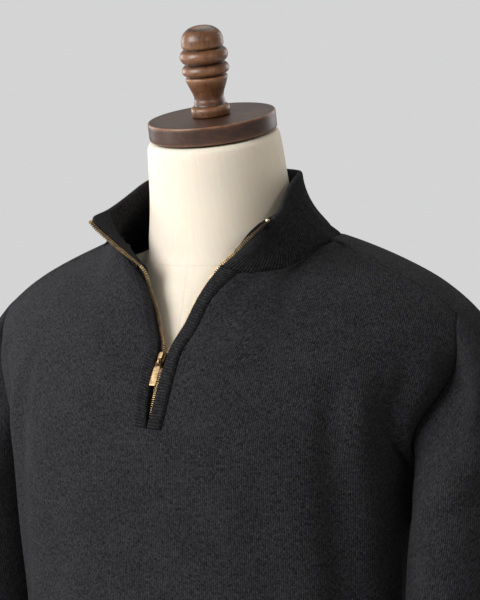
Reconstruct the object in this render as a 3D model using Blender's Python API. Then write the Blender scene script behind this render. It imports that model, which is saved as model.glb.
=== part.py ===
"""A quarter zip sweater on a limbless dress form, in metres, +Z up.

The wearer faces -Y and the wearer's left is +X. The origin is the centre of
the underside of the form's round base. The sweater is a set of thin walls,
one for each piece that is knitted and sewn: front, back, two sleeves with
their saddle straps, collar, two plackets, the hem ribs of front and back and
two cuffs, with the two zip tapes behind the edges and a facing over each
inside the collar. Each wall
is an open surface given thickness inwards, so neck, hem and cuffs stay open.
Shapes are read from short tables of sections, one row a section.
"""
import math

import bmesh
import bpy
import numpy as np
from mathutils import Matrix, Vector
from mathutils.kdtree import KDTree

# ------------------------------------------------------------------ sizes --
CLOTH = 0.0020          # knit wall of front, back and sleeves
RIB = 0.0024            # ribbed wall of hem and cuffs
COLLAR = 0.0030         # doubled ribbed wall of the collar
FACING = 0.0012         # knit strip that covers the zip tape inside the collar
TAPE = 0.0010           # woven zip tape
SEAM = 0.0002           # each piece stops this far short of its seam line
SEAM_WIDE = 0.0004      # and this far where seams bend sharply
Z_HEM = 0.220           # lowest edge of the hem rib
Z_RIB = 0.284           # seam of hem rib and body
Z_ARM = 0.700           # underarm
Z_ZIP = 0.7362          # bottom end of the zip slit
Z_VEE = 0.8800          # where the collar seam meets the zip
Z_SLIDER = 0.7963       # middle of the zip slider
ARCH = 1.8              # roundness of the shoulder from front to back
NECK_X = {-1: 0.118, 1: 0.104}  # where the straps' front and back seams end
SHOULDER_X = 0.2400     # where the straps end and the armholes begin
PLACKET = 0.0145        # width of the ribbed band beside the zip
PLACKET_THICK = 0.0015
ZIP_TAPE_IN = 0.0070    # tape under the cloth
ZIP_TAPE_OUT = 0.0044   # tape showing beyond its edge
CLEAR = 0.0003          # gap between a piece and what lies on it
Z_CUFF = 0.2320         # lowest edge of the cuffs
CUFF = 0.0650           # height of the cuffs

COLS_NECK = 6           # wall columns along half of the front neckline
COLS_STRAP = 6          # and along one strap seam
COLS_NAPE = 5           # and along half of the back neckline
ROWS_LOW = 7            # wall rows from the hem rib to the underarm
ROWS_ZIP = 3            # from the underarm to the bottom of the zip
ROWS_HIGH = 8           # and from there to the shoulder
STRAP_COLS = 4
COLLAR_ROWS = 5
SLEEVE_CAP_ROWS = 5
SLEEVE_ROWS = 8

BASE_RADIUS = 0.178
BASE_HEIGHT = 0.026
POLE_RADIUS = 0.016
CAP_CENTRE = (0.0, -0.031, 1.0208)   # middle of the cap's upper face
CAP_TILT = 15.2                     # degrees that the neck's top leans forward


def table(columns, rows):
    """Rows under named columns, as {column: array}."""
    names = columns.split()
    grid = np.array(rows, float)
    return {n: grid[:, i] for i, n in enumerate(names)}


# the sweater's outside, a section at each height: half width, how far the
# front and the back stand from the side seam line, where that line is in y,
# and how square the section is
BODY = table("z half front back middle square", [
    (0.220, 0.180, 0.120, 0.113, -0.012, 2.35),
    (0.250, 0.181, 0.121, 0.114, -0.012, 2.35),
    (0.284, 0.184, 0.126, 0.117, -0.012, 2.35),
    (0.312, 0.191, 0.134, 0.122, -0.012, 2.35),
    (0.420, 0.187, 0.134, 0.118, -0.012, 2.35),
    (0.550, 0.189, 0.139, 0.115, -0.012, 2.35),
    (0.620, 0.195, 0.143, 0.115, -0.012, 2.35),
    (0.700, 0.2015, 0.148, 0.117, -0.012, 2.35),
    (0.750, 0.2225, 0.151, 0.115, -0.006, 2.20),
    (0.800, 0.2500, 0.158, 0.107, 0.006, 2.10),
    (0.840, 0.2640, 0.165, 0.099, 0.016, 2.10),
    (0.880, 0.2750, 0.168, 0.094, 0.021, 2.10),
    (0.940, 0.2850, 0.168, 0.090, 0.021, 2.10),
])
# height at which front and back walls would close over the shoulder. Inside
# the neckline the walls are cut away before they close.
RIDGE = table("x front back", [
    (0.000, 0.8968, 0.9850),
    (0.020, 0.9080, 0.9830),
    (0.050, 0.9240, 0.9680),
    (0.080, 0.9270, 0.9400),
    (0.106, 0.9115, 0.9115),
    (0.125, 0.9055, 0.9055),
    (0.150, 0.8968, 0.8968),
    (0.180, 0.8844, 0.8844),
    (0.210, 0.8700, 0.8700),
    (0.240, 0.8537, 0.8537),
    (0.260, 0.8410, 0.8410),
    (0.290, 0.8200, 0.8200),
])
# how far the saddle strap's seams lie in front of and behind the ridge
STRAP = table("x front back", [
    (0.106, 0.0330, 0.0120),
    (0.180, 0.0330, 0.0120),
    (0.240, 0.0270, 0.0120),
])
# half width of the armhole's edge from the underarm, part 0, to the strap
ARMHOLE = table("part front back", [
    (0.00, 0.2015, 0.2015),
    (0.10, 0.2045, 0.2020),
    (0.20, 0.2090, 0.2035),
    (0.31, 0.2155, 0.2070),
    (0.46, 0.2275, 0.2130),
    (0.60, 0.2385, 0.2220),
    (0.75, 0.2435, 0.2320),
    (1.00, 0.2400, 0.2400),
])
# the opening along the zip: half width, and how far the cloth beside it is
# held out by the open collar
VEE = table("z half lift", [
    (0.7000, 0.0000, 0.0000),
    (0.7392, 0.0000, 0.0000),
    (0.7450, 0.0014, 0.0000),
    (0.7700, 0.0034, 0.0000),
    (0.7950, 0.0048, 0.0000),
    (0.8100, 0.0068, 0.0006),
    (0.8274, 0.0148, 0.0036),
    (0.8504, 0.0241, 0.0143),
    (0.8714, 0.0375, 0.0258),
    (0.8800, 0.0450, 0.0310),
    (0.9000, 0.0630, 0.0350),
    (0.9400, 0.0730, 0.0350),
])
LIFT_REACH = 0.045
# neckline from the zip to the strap: on the wearer's left it hangs lower, on
# the right the collar has drawn it up
NECK_FRONT = table("part xleft zleft xright zright", [
    (0.00, 0.0450, 0.8800, 0.0450, 0.8800),
    (0.25, 0.0640, 0.8755, 0.0585, 0.8905),
    (0.50, 0.0830, 0.8755, 0.0745, 0.9000),
    (0.75, 0.1020, 0.8840, 0.0950, 0.9035),
    (1.00, 0.1180, 0.8990, 0.1180, 0.8990),
])
# and from the strap to the middle back
NECK_BACK = table("part x z", [
    (0.0, 0.1040, 0.9105),
    (0.3, 0.0870, 0.9200),
    (0.6, 0.0540, 0.9262),
    (1.0, 0.0000, 0.9280),
])
# upper rim of the collar, by the share of its length from zip to middle back,
# and how hollow the collar is below it
RIM = table("part x y z bow", [
    (0.00, 0.0975, -0.0960, 0.9210, 0.10),
    (0.20, 0.0920, -0.0680, 0.9320, 0.25),
    (0.40, 0.0835, -0.0360, 0.9500, 0.70),
    (0.60, 0.0765, 0.0020, 0.9650, 1.00),
    (0.80, 0.0500, 0.0500, 0.9710, 0.80),
    (1.00, 0.0000, 0.0660, 0.9735, 0.60),
])
# the facing inside the collar, from its end on the front up to the rim: its
# width, and how far it shows beyond the edge it covers
STRIP = table("row wide out", [
    (-3, 0.008, 0.0046),
    (-2, 0.009, 0.0054),
    (-1, 0.014, 0.0064),
    (0, 0.025, 0.0068),
    (1, 0.027, 0.0056),
    (2, 0.027, 0.0046),
    (3, 0.027, 0.0040),
    (4, 0.027, 0.0036),
    (5, 0.027, 0.0032),
])
# the left sleeve below its cap: centre and half sizes of each section
SLEEVE = table("z x y wide deep", [
    (0.232, 0.2310, -0.032, 0.0325, 0.0410),
    (0.262, 0.2310, -0.031, 0.0330, 0.0420),
    (0.297, 0.2330, -0.030, 0.0350, 0.0440),
    (0.325, 0.2390, -0.028, 0.0410, 0.0500),
    (0.430, 0.2400, -0.022, 0.0430, 0.0560),
    (0.540, 0.2420, -0.018, 0.0440, 0.0630),
    (0.620, 0.2465, -0.016, 0.0450, 0.0680),
    (0.665, 0.2500, -0.013, 0.0455, 0.0690),
])
# the dress form, a section at each height: its shoulders are one oval, and
# its neck another that stands through it
FORM = table("z half front back middle neck nfront nback nmiddle", [
    (0.200, 0.146, 0.094, 0.088, -0.012, 0.020, 0.020, 0.020, -0.012),
    (0.206, 0.156, 0.101, 0.095, -0.012, 0.020, 0.020, 0.020, -0.012),
    (0.224, 0.161, 0.105, 0.098, -0.012, 0.020, 0.020, 0.020, -0.012),
    (0.300, 0.164, 0.111, 0.100, -0.012, 0.020, 0.020, 0.020, -0.012),
    (0.430, 0.158, 0.114, 0.094, -0.012, 0.020, 0.020, 0.020, -0.012),
    (0.560, 0.168, 0.123, 0.098, -0.012, 0.020, 0.020, 0.020, -0.012),
    (0.680, 0.186, 0.136, 0.101, -0.012, 0.020, 0.020, 0.020, -0.012),
    (0.740, 0.193, 0.134, 0.098, -0.007, 0.040, 0.080, 0.060, 0.000),
    (0.780, 0.200, 0.119, 0.090, 0.000, 0.070, 0.105, 0.070, 0.004),
    (0.810, 0.204, 0.100, 0.081, 0.008, 0.082, 0.101, 0.072, 0.006),
    (0.835, 0.205, 0.081, 0.069, 0.013, 0.082, 0.095, 0.070, 0.006),
    (0.852, 0.202, 0.067, 0.057, 0.016, 0.081, 0.091, 0.067, 0.006),
    (0.864, 0.193, 0.057, 0.047, 0.017, 0.080, 0.087, 0.065, 0.0055),
    (0.876, 0.164, 0.048, 0.038, 0.018, 0.078, 0.084, 0.063, 0.005),
    (0.888, 0.106, 0.038, 0.031, 0.018, 0.076, 0.080, 0.061, 0.004),
    (0.900, 0.0800, 0.031, 0.025, 0.016, 0.0745, 0.077, 0.060, 0.001),
    (0.912, 0.0732, 0.027, 0.022, 0.011, 0.0725, 0.0745, 0.060, -0.002),
    (0.930, 0.0700, 0.024, 0.020, 0.002, 0.0695, 0.0710, 0.060, -0.007),
    (0.957, 0.0665, 0.020, 0.020, -0.008, 0.0662, 0.0665, 0.060, -0.0147),
    (0.985, 0.0643, 0.020, 0.020, -0.019, 0.0640, 0.0638, 0.060, -0.0220),
    (0.9975, 0.0628, 0.020, 0.020, -0.0254, 0.0626, 0.0624, 0.060, -0.0254),
    (1.0020, 0.0600, 0.020, 0.020, -0.0262, 0.0598, 0.0600, 0.058, -0.0262),
])


# ------------------------------------------------------------- small maths --
def smooth(x, y, t):
    """Cubic through the points (x, y) that doesn't overshoot, read at t."""
    x, y, t = np.asarray(x, float), np.asarray(y, float), np.asarray(t, float)
    h = np.diff(x)
    d = np.diff(y) / h
    m = np.zeros(len(x))
    m[0], m[-1] = d[0], d[-1]
    for i in range(1, len(x) - 1):
        if d[i - 1] * d[i] > 0:
            w1, w2 = 2 * h[i] + h[i - 1], h[i] + 2 * h[i - 1]
            m[i] = (w1 + w2) / (w1 / d[i - 1] + w2 / d[i])
    i = np.clip(np.searchsorted(x, t, side="right") - 1, 0, len(x) - 2)
    s = np.clip((t - x[i]) / h[i], 0, 1)
    return ((1 + 2 * s) * (1 - s) ** 2 * y[i] + s * (1 - s) ** 2 * h[i] * m[i]
            + s * s * (3 - 2 * s) * y[i + 1] + s * s * (s - 1) * h[i] * m[i + 1])


def spline(x, y, t):
    """Natural cubic spline through the points (x, y), read at t."""
    x, y, t = np.asarray(x, float), np.asarray(y, float), np.asarray(t, float)
    n, h = len(x), np.diff(x)
    a, r = np.eye(n), np.zeros(n)
    for i in range(1, n - 1):
        a[i, i - 1:i + 2] = h[i - 1], 2 * (h[i - 1] + h[i]), h[i]
        r[i] = 6 * ((y[i + 1] - y[i]) / h[i] - (y[i] - y[i - 1]) / h[i - 1])
    m = np.linalg.solve(a, r)
    i = np.clip(np.searchsorted(x, t, side="right") - 1, 0, n - 2)
    u, v = x[i + 1] - t, t - x[i]
    return (m[i] * u ** 3 + m[i + 1] * v ** 3) / (6 * h[i]) \
        + (y[i] / h[i] - m[i] * h[i] / 6) * u \
        + (y[i + 1] / h[i] - m[i + 1] * h[i] / 6) * v


def section(tab, z):
    """The row of a table of sections at height z."""
    return {c: smooth(tab["z"], tab[c], z) for c in tab if c != "z"}


def power(v, p):
    return np.sign(v) * np.abs(v) ** p


# ----------------------------------------------------- the sweater's walls --
def vee(z, column):
    return smooth(VEE["z"], VEE[column], z)


def depth(x, z, side):
    """How far the front (side -1) or back (side 1) wall stands from the
    section's middle at width x and height z."""
    row = section(BODY, z)
    x = np.abs(x)
    wide = np.clip(1 - (x / row["half"]) ** row["square"], 0, 1) ** (1 / row["square"])
    top = smooth(RIDGE["x"], RIDGE["front" if side < 0 else "back"], x)
    rise = np.clip((z - Z_ARM) / (top - Z_ARM), 0, 1)
    arch = (1 - rise ** ARCH) ** (1 / ARCH)
    out = row["front" if side < 0 else "back"] * wide * arch
    if side < 0:
        out = out + vee(z, "lift") * np.exp(-((x - vee(z, "half")) / LIFT_REACH) ** 2)
    return out


def wall(x, z, side):
    """A point of the front or back wall."""
    y = section(BODY, z)["middle"] + side * depth(x, z, side)
    return np.stack(np.broadcast_arrays(x, y, z), -1)


def ring_point(z, angle, side):
    """A point of a section below the underarm; angle 0 is the middle of the
    front or back and 90 the side seam."""
    row = section(BODY, z)
    angle = np.radians(angle)
    x = row["half"] * np.sin(angle) ** (2 / row["square"])
    d = row["front" if side < 0 else "back"] * np.cos(angle).clip(0) ** (2 / row["square"])
    return np.stack(np.broadcast_arrays(x, row["middle"] + side * d, z), -1)


def seam_height(x, side):
    """Height of the strap's seam at width x: where the wall stands as far
    from the ridge as the seam."""
    x = np.asarray(x, float)
    off = smooth(STRAP["x"], STRAP["front" if side < 0 else "back"], x)
    high = smooth(RIDGE["x"], RIDGE["back"], x)
    low = high - 0.05
    for _ in range(40):
        z = (low + high) / 2
        out = depth(x, z, side) > off
        low, high = np.where(out, z, low), np.where(out, high, z)
    return (low + high) / 2


def strap_end(share):
    """Width at which the strap meets the collar."""
    return NECK_X[-1] + (NECK_X[1] - NECK_X[-1]) * share


def strap_line(part):
    """Points across the strap from its front seam to its back seam, at this
    part of the way from the shoulder to the neck."""
    share = np.linspace(0, 1, STRAP_COLS + 1)
    return np.array([strap_row(SHOULDER_X + (strap_end(u) - SHOULDER_X) * part, u) for u in share])


def strap_row(x, share):
    """A point of the strap at width x: share 0 is on its front seam and 1 on
    its back seam, over the ridge between them."""
    share = np.asarray(share, float)
    top = float(smooth(RIDGE["x"], RIDGE["back"], x))
    z_f, z_b = float(seam_height(x, -1)), float(seam_height(x, 1))
    ends = [math.asin(((z - Z_ARM) / (top - Z_ARM)) ** (ARCH / 2)) for z in (z_f, z_b)]
    a = ends[0] + (math.pi - ends[1] - ends[0]) * share
    z = Z_ARM + (top - Z_ARM) * np.sin(a) ** (2 / ARCH)
    front = a <= math.pi / 2
    ridge_y = section(BODY, np.array(top))["middle"]
    y = np.where(front, section(BODY, z)["middle"] - depth(x, z, -1),
                 section(BODY, z)["middle"] + depth(x, z, 1))
    y = np.where(np.abs(a - math.pi / 2) < 1e-3, ridge_y, y)
    return np.stack(np.broadcast_arrays(x, y, z), -1)


def high_parts():
    """Shares of the way from the underarm to the neck or shoulder, with one
    row at the bottom end of the zip."""
    at_zip = (Z_ZIP - Z_ARM) / (Z_VEE - Z_ARM)
    return np.concatenate([np.linspace(0, at_zip, ROWS_ZIP + 1)[:-1],
                           np.linspace(at_zip, 1, ROWS_HIGH + 1)])


def panel_top(side, hand):
    """Width and height along the top edge of half a front or back: its
    neckline, then its strap seam out to the armhole."""
    front = side < 0
    neck = NECK_BACK
    if front:
        own = "left" if hand > 0 else "right"
        neck = {"part": NECK_FRONT["part"], "x": NECK_FRONT["x" + own], "z": NECK_FRONT["z" + own]}
        first = np.array([0, 0.22, 0.45])
        t = np.concatenate([first / 1.9, np.linspace(first[-1] / 1.9, 1, COLS_NECK - 1)[1:]])
    else:
        t = np.linspace(1, 0, COLS_NAPE + 1)
    nx = smooth(neck["part"], neck["x"], t)
    nz = smooth(neck["part"], neck["z"], t)
    nx[-1], nz[-1] = NECK_X[side], seam_height(NECK_X[side], side)
    sx = NECK_X[side] + (SHOULDER_X - NECK_X[side]) * np.linspace(0, 1, COLS_STRAP + 1)[1:]
    return np.concatenate([nx, sx]), np.concatenate([nz, seam_height(sx, side)])


def column_angles(side):
    """The columns of half a panel, as angles on its low sections."""
    if side > 0:
        return np.linspace(0, 90, COLS_NAPE + COLS_STRAP + 1)
    near = (np.array([0.5, 1]) * PLACKET / BODY["half"][6]) ** (BODY["square"][6] / 2)
    near = np.degrees(np.arcsin(near))
    return np.concatenate([[0], near, np.linspace(near[-1], 90, COLS_NECK + COLS_STRAP - 1)[1:]])


def half_panel(side, hand=1):
    """Points of the wearer's left half of the front or back, or of the right
    half in a mirror: rows from the hem rib up, columns from the middle or the
    zip out to the side. The first columns beside the zip lie one half and one
    whole placket away."""
    front = side < 0
    tx, tz = panel_top(side, hand)
    angle = column_angles(side)
    rows = [ring_point(z, angle, side)
            for z in np.linspace(Z_RIB, Z_ARM, ROWS_LOW + 1)]
    for part in high_parts()[1:]:
        z = Z_ARM + (tz - Z_ARM) * part
        left = float(vee(z[0], "half")) if front else 0.0
        right = float(smooth(ARMHOLE["part"], ARMHOLE["front" if front else "back"], part))
        ring = ring_point(Z_ARM, angle, side)[:, 0]
        low, high = ring / ring[-1], (tx - tx[0]) / (tx[-1] - tx[0])
        x = left + (right - left) * (low + (high - low) * part)
        if front:
            # the slope of the zip's edge widens the placket along the row
            lean = (vee(z[0] + 0.002, "half") - vee(z[0] - 0.002, "half")) / 0.004
            wide = PLACKET * math.sqrt(1 + float(lean) ** 2) * (1 - 0.25 * part * part)
            keep = x.copy()
            x[1], x[2] = left + 0.5 * wide, left + wide
            x[3:] = x[2] + (keep[3:] - keep[2]) * (right - x[2]) / (right - keep[2])
        if part == 1:
            x = tx
        rows.append(wall(x, z, side))
    return np.array(rows)


def neckline(left_half_front, left_half_back):
    """Points of half the collar seam from the zip to the middle back, shared
    by the front, the strap's end and the back."""
    front = left_half_front[-1][:COLS_NECK + 1]
    strap = strap_line(1)[1:-1]
    back = left_half_back[-1][:COLS_NAPE + 1][::-1]
    return np.concatenate([front, strap, back])


def length_share(points):
    step = np.linalg.norm(np.diff(points, axis=0), axis=1)
    run = np.concatenate([[0], np.cumsum(step)])
    return run / run[-1]


def collar_half(base):
    """Rows of half the collar from its seam up to its rim; the columns follow
    the seam from the zip to the middle back."""
    t = length_share(base)
    double = {c: np.concatenate([RIM[c], RIM[c][-2::-1] * (-1 if c == "x" else 1)]) for c in ("x", "y", "z")}
    part = np.concatenate([RIM["part"], 2 - RIM["part"][-2::-1]])
    rim = np.stack([spline(part, double[c], t) for c in ("x", "y", "z")], 1)
    bow = smooth(RIM["part"], RIM["bow"], t)[:, None]
    mid = base + (rim - base) * np.concatenate([0.5 + 0.5 * bow, 0.5 + 0.5 * bow, 0.5 - 0.1 * bow], 1)
    rows = []
    for h in np.linspace(0, 1, COLLAR_ROWS + 1):
        rows.append((1 - h) ** 2 * base + 2 * h * (1 - h) * mid + h * h * rim)
    return np.array(rows)


def sleeve_ring(z, angle):
    """A point of the left sleeve's section; angle 0 is outside, 90 back, 180
    against the body and 270 front."""
    row = section(SLEEVE, z)
    angle = np.radians(angle)
    return np.stack(np.broadcast_arrays(row["x"] + row["wide"] * np.cos(angle),
                                        row["y"] + row["deep"] * np.sin(angle), z), -1)


def armhole_loop(left_half_front, left_half_back):
    """The left armhole from the underarm up the front, over the end of the
    strap and down the back."""
    front = left_half_front[ROWS_LOW:, -1]
    strap = strap_line(0)[1:-1]
    back = left_half_back[ROWS_LOW + 1:, -1][::-1]
    return np.concatenate([front, strap, back])


def sleeve_rows(loop):
    """Rows of the left sleeve from the armhole to the cuff seam."""
    t = length_share(np.concatenate([loop, loop[:1]]))[:-1]
    top = ROWS_ZIP + ROWS_HIGH + STRAP_COLS / 2     # the ridge's place in the loop
    at = np.interp(top, np.arange(len(loop)), t)
    turn = np.where(t < at, 180 + 180 * t / at, 360 + 180 * (t - at) / (1 - at))
    first_z = SLEEVE["z"][-1]
    first = sleeve_ring(first_z, turn)
    high = (1 + np.cos(np.radians(turn)))[:, None] / 2      # 1 on the ridge, 0 underarm
    fore = np.sin(np.radians(turn))[:, None]                # -1 in front, 1 behind
    out = (np.array([0.60, 0.0, -0.55]) * high + np.array([0.25, 0.0, -1.0]) * (1 - high)
           + np.array([0.35, 0.0, 0.40]) * np.abs(fore) * (1 - high)
           + np.array([0.0, 1.0, 0.0]) * fore * (1 - high))
    gap = np.linalg.norm(first - loop, axis=1)[:, None]
    start = out * gap * (0.9 + 0.3 * high)
    end = np.array([0.02, 0.0, -1.0]) * gap * 1.0
    rows = []
    for s in np.linspace(0, 1, SLEEVE_CAP_ROWS + 1):
        rows.append((1 + 2 * s) * (1 - s) ** 2 * loop + s * (1 - s) ** 2 * start
                    + s * s * (3 - 2 * s) * first + s * s * (s - 1) * end)
    for z in np.linspace(first_z, Z_CUFF + CUFF, SLEEVE_ROWS + 1)[1:]:
        rows.append(sleeve_ring(z, turn))
    return np.array(rows), turn


def form_ring(z, steps):
    """A section of the dress form. The shoulders' oval and the neck's oval
    blend where they meet; near the top the section leans forward."""
    row = {c: float(v) for c, v in section(FORM, z).items()}
    a = np.arange(steps) * 2 * math.pi / steps
    x = row["half"] * np.sin(a)
    back = np.cos(a) < 0
    lens = np.abs(np.cos(a)) ** (2 / 2.15)
    d1 = np.where(back, row["back"], row["front"]) * lens
    inside = 1 - (x / row["neck"]) ** 2
    d2 = np.where(back, row["nback"], row["nfront"]) * np.sign(inside) * np.abs(inside) ** 0.5
    side = np.where(back, 1.0, -1.0)
    y1, y2 = side * row["middle"] + d1, side * row["nmiddle"] + d2
    k = 0.004 * np.clip(np.abs(np.cos(a)) * 3, 0, 1)
    y = side * ((y1 + y2) / 2 + np.sqrt(((y1 - y2) / 2) ** 2 + k * k))
    y = np.where(np.abs(np.cos(a)) < 1e-6, row["middle"], y)
    lean = math.tan(math.radians(CAP_TILT)) * float(smooth([0.88, 0.93, 0.9975, 1.0020], [0, 0.25, 1, 1], max(z, 0.88)))
    return np.stack([x, y, z + lean * (y - row["nmiddle"])], 1)


# --------------------------------------------------------- making meshes ---
def clear():
    for o in list(bpy.data.objects):
        bpy.data.objects.remove(o)


def material(name, colour, roughness, metallic=0.0):
    m = bpy.data.materials.new(name)
    m.use_nodes = True
    p = m.node_tree.nodes["Principled BSDF"]
    p.inputs["Base Color"].default_value = (*colour, 1)
    p.inputs["Roughness"].default_value = roughness
    p.inputs["Metallic"].default_value = metallic
    m.diffuse_color = (*colour, 1)
    return m


def make(name, bm, mat, smooth_angle=40):
    me = bpy.data.meshes.new(name)
    bm.to_mesh(me)
    bm.free()
    me.shade_smooth()
    me.set_sharp_from_angle(angle=math.radians(smooth_angle))
    o = bpy.data.objects.new(name, me)
    o.data.materials.append(mat)
    bpy.context.scene.collection.objects.link(o)
    return o


def add_grid(bm, grid, close=False, flip=False):
    """Quads between the rows of grid; close joins the last column to the
    first."""
    rows = [[bm.verts.new(p) for p in row] for row in grid]
    n = len(rows[0])
    for a, b in zip(rows, rows[1:]):
        for i in range(n if close else n - 1):
            j = (i + 1) % n
            bm.faces.new((a[i], b[i], b[j], a[j]) if flip else (a[i], a[j], b[j], b[i]))
    return rows


def shrink_edges(bm, distance):
    """Moves the open edges of a surface inwards along the surface, which
    leaves the gap at each seam."""
    bm.normal_update()
    moves = {}
    for v in bm.verts:
        inward = []
        for e in v.link_edges:
            if len(e.link_faces) == 1:
                f = e.link_faces[0]
                along = (e.verts[1].co - e.verts[0].co).normalized()
                into = f.normal.cross(along)
                if into.dot(f.calc_center_median() - e.verts[0].co) < 0:
                    into.negate()
                inward.append(into)
        if len(inward) == 2:
            way = inward[0] + inward[1]
            if way.length > 1e-6:
                way.normalize()
                moves[v] = way * (distance / max(way.dot(inward[0]), 0.5))
    for v, m in moves.items():
        v.co += m


def directions(names):
    """Outward directions of the surface of these pieces sewn together, by
    point. Their length makes up for the bend of the surface."""
    bm = bmesh.new()
    for name in names:
        sew(bm, name)
    bmesh.ops.remove_doubles(bm, verts=bm.verts, dist=1e-6)
    bm.normal_update()
    tree, ways = KDTree(len(bm.verts)), []
    for i, v in enumerate(bm.verts):
        tree.insert(v.co, i)
        bend = sum(v.normal.dot(f.normal) for f in v.link_faces) / len(v.link_faces)
        ways.append(v.normal / max(bend, 0.75))
    tree.balance()
    bm.free()
    return tree, ways


def facing(points, group="whole"):
    """Outward direction at the points, or at the nearest ones of the surface.
    Pieces that meet at a seam share it, so their walls meet in a mitre; where
    the seam is a sharp crease, body and arms have one each."""
    flat = np.asarray(points, float).reshape(-1, 3)
    out = []
    for p in flat:
        tree, ways = DIRECTIONS["whole"]
        way = ways[tree.find(p)[1]]
        tree, ways = DIRECTIONS[group]
        own = ways[tree.find(p)[1]]
        out.append(own if own.normalized().dot(way.normalized()) < 0.6 else way)
    return np.array(out).reshape(np.shape(points))


def knit(name, bm, thickness, mat, seam=SEAM, way=None, group="whole"):
    """Turns an open surface, faces out, into a wall with its thickness
    inside."""
    bmesh.ops.remove_doubles(bm, verts=bm.verts, dist=1e-6)
    bm.verts.index_update()
    if way is None:
        way = facing([v.co for v in bm.verts], group)
    order = [tuple(round(c, 5) for c in v.co) for v in bm.verts]
    shrink_edges(bm, seam)
    border = [(e.link_loops[0].vert.index, e.link_loops[0].link_loop_next.vert.index)
              for e in bm.edges if len(e.link_faces) == 1]
    faces = [[v.index for v in f.verts] for f in bm.faces]
    bm.verts.ensure_lookup_table()
    verts = list(bm.verts)
    inner = [bm.verts.new(v.co - Vector(w) * thickness) for v, w in zip(verts, way)]
    for f in faces:
        bm.faces.new([inner[i] for i in f[:1] + f[:0:-1]])
    for i, j in border:
        # the same diagonal as on the piece across the seam
        if order[i] < order[j]:
            bm.faces.new((verts[j], verts[i], inner[j]))
            bm.faces.new((verts[i], inner[i], inner[j]))
        else:
            bm.faces.new((verts[j], verts[i], inner[i]))
            bm.faces.new((verts[j], inner[i], inner[j]))
    return make(name, bm, mat)


def mirrored(grid):
    return grid * np.array([-1, 1, 1])


def turned(profile, steps, tilt=None, at=(0, 0, 0)):
    """A closed solid turned about Z from its profile, radius and height from
    bottom to top, both ends on the axis; tilt leans it and at moves it."""
    bm = bmesh.new()
    angle = np.arange(steps) * 2 * math.pi / steps
    rings = []
    for r, z in profile:
        if r < 1e-7:
            rings.append([bm.verts.new((0, 0, z))])
        else:
            rings.append([bm.verts.new((r * math.cos(a), r * math.sin(a), z)) for a in angle])
    for a, b in zip(rings, rings[1:]):
        for i in range(steps):
            j = (i + 1) % steps
            if len(a) == 1:
                bm.faces.new((a[0], b[j], b[i]))
            elif len(b) == 1:
                bm.faces.new((a[i], a[j], b[0]))
            else:
                bm.faces.new((a[i], a[j], b[j], b[i]))
    move = Matrix.Translation(at)
    if tilt is not None:
        move = move @ Matrix.Rotation(tilt, 4, "X")
    bm.transform(move)
    return bm


def cells(name, cuts, filled, frame, mat, bevel):
    """A solid of the filled cells between cuts in three directions, in a
    frame of its own, with its edges bevelled."""
    bm = bmesh.new()
    verts = {}

    def vert(i, j, k):
        if (i, j, k) not in verts:
            verts[i, j, k] = bm.verts.new((cuts[0][i], cuts[1][j], cuts[2][k]))
        return verts[i, j, k]

    for c in filled:
        for axis in range(3):
            for way in (0, 1):
                other = list(c)
                other[axis] += 1 if way else -1
                if tuple(other) in filled:
                    continue
                u, v = [x for x in range(3) if x != axis]
                corner = []
                for du, dv in ((0, 0), (1, 0), (1, 1), (0, 1)):
                    at = list(c)
                    at[axis] += way
                    at[u] += du
                    at[v] += dv
                    corner.append(vert(*at))
                bm.faces.new(corner)
    bmesh.ops.recalc_face_normals(bm, faces=bm.faces)
    o = make(name, bm, mat)
    o.matrix_world = frame
    m = o.modifiers.new("edges", "BEVEL")
    m.width = bevel
    m.segments = 1
    m.limit_method = "ANGLE"
    return o


# ------------------------------------------------------------- the model ---
clear()

KNIT = material("charcoal_knit", (0.052, 0.052, 0.056), 0.92)
RIBBED = material("charcoal_rib", (0.045, 0.045, 0.049), 0.92)
BLACK = material("black_tape", (0.012, 0.012, 0.013), 0.80)
BRASS = material("antique_brass", (0.60, 0.44, 0.22), 0.32, 1.0)
LINEN = material("cream_linen", (0.76, 0.69, 0.58), 0.85)
WALNUT = material("dark_walnut", (0.085, 0.035, 0.018), 0.38)

front_halves = {hand: half_panel(-1, hand) for hand in (1, -1)}
back_half = half_panel(1)
collar_parts = {hand: collar_half(neckline(front_halves[hand], back_half)) for hand in (1, -1)}
armhole = armhole_loop(front_halves[1], back_half)
sleeve_part, sleeve_turn = sleeve_rows(armhole)
slit = ROWS_LOW + ROWS_ZIP              # the row at the bottom end of the zip
STRIP_START = slit + ROWS_HIGH + int(STRIP["row"][0])

strap = np.array([strap_line(part) for part in np.linspace(0, 1, COLS_STRAP + 1)])
cuff = np.array([sleeve_ring(z, sleeve_turn) for z in np.linspace(Z_CUFF + CUFF, Z_CUFF, 4)])
# hem rib, with the same columns as the panels above it and seams at the sides
HEM_SIDE = COLS_NECK + COLS_STRAP
hem = []
for z in np.linspace(Z_RIB, Z_HEM, 4):
    left = np.concatenate([ring_point(z, column_angles(-1), -1), ring_point(z, column_angles(1), 1)[-2::-1]])
    hem.append(np.concatenate([left, mirrored(left)[-2:0:-1]]))
hem = np.array(hem)


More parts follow.
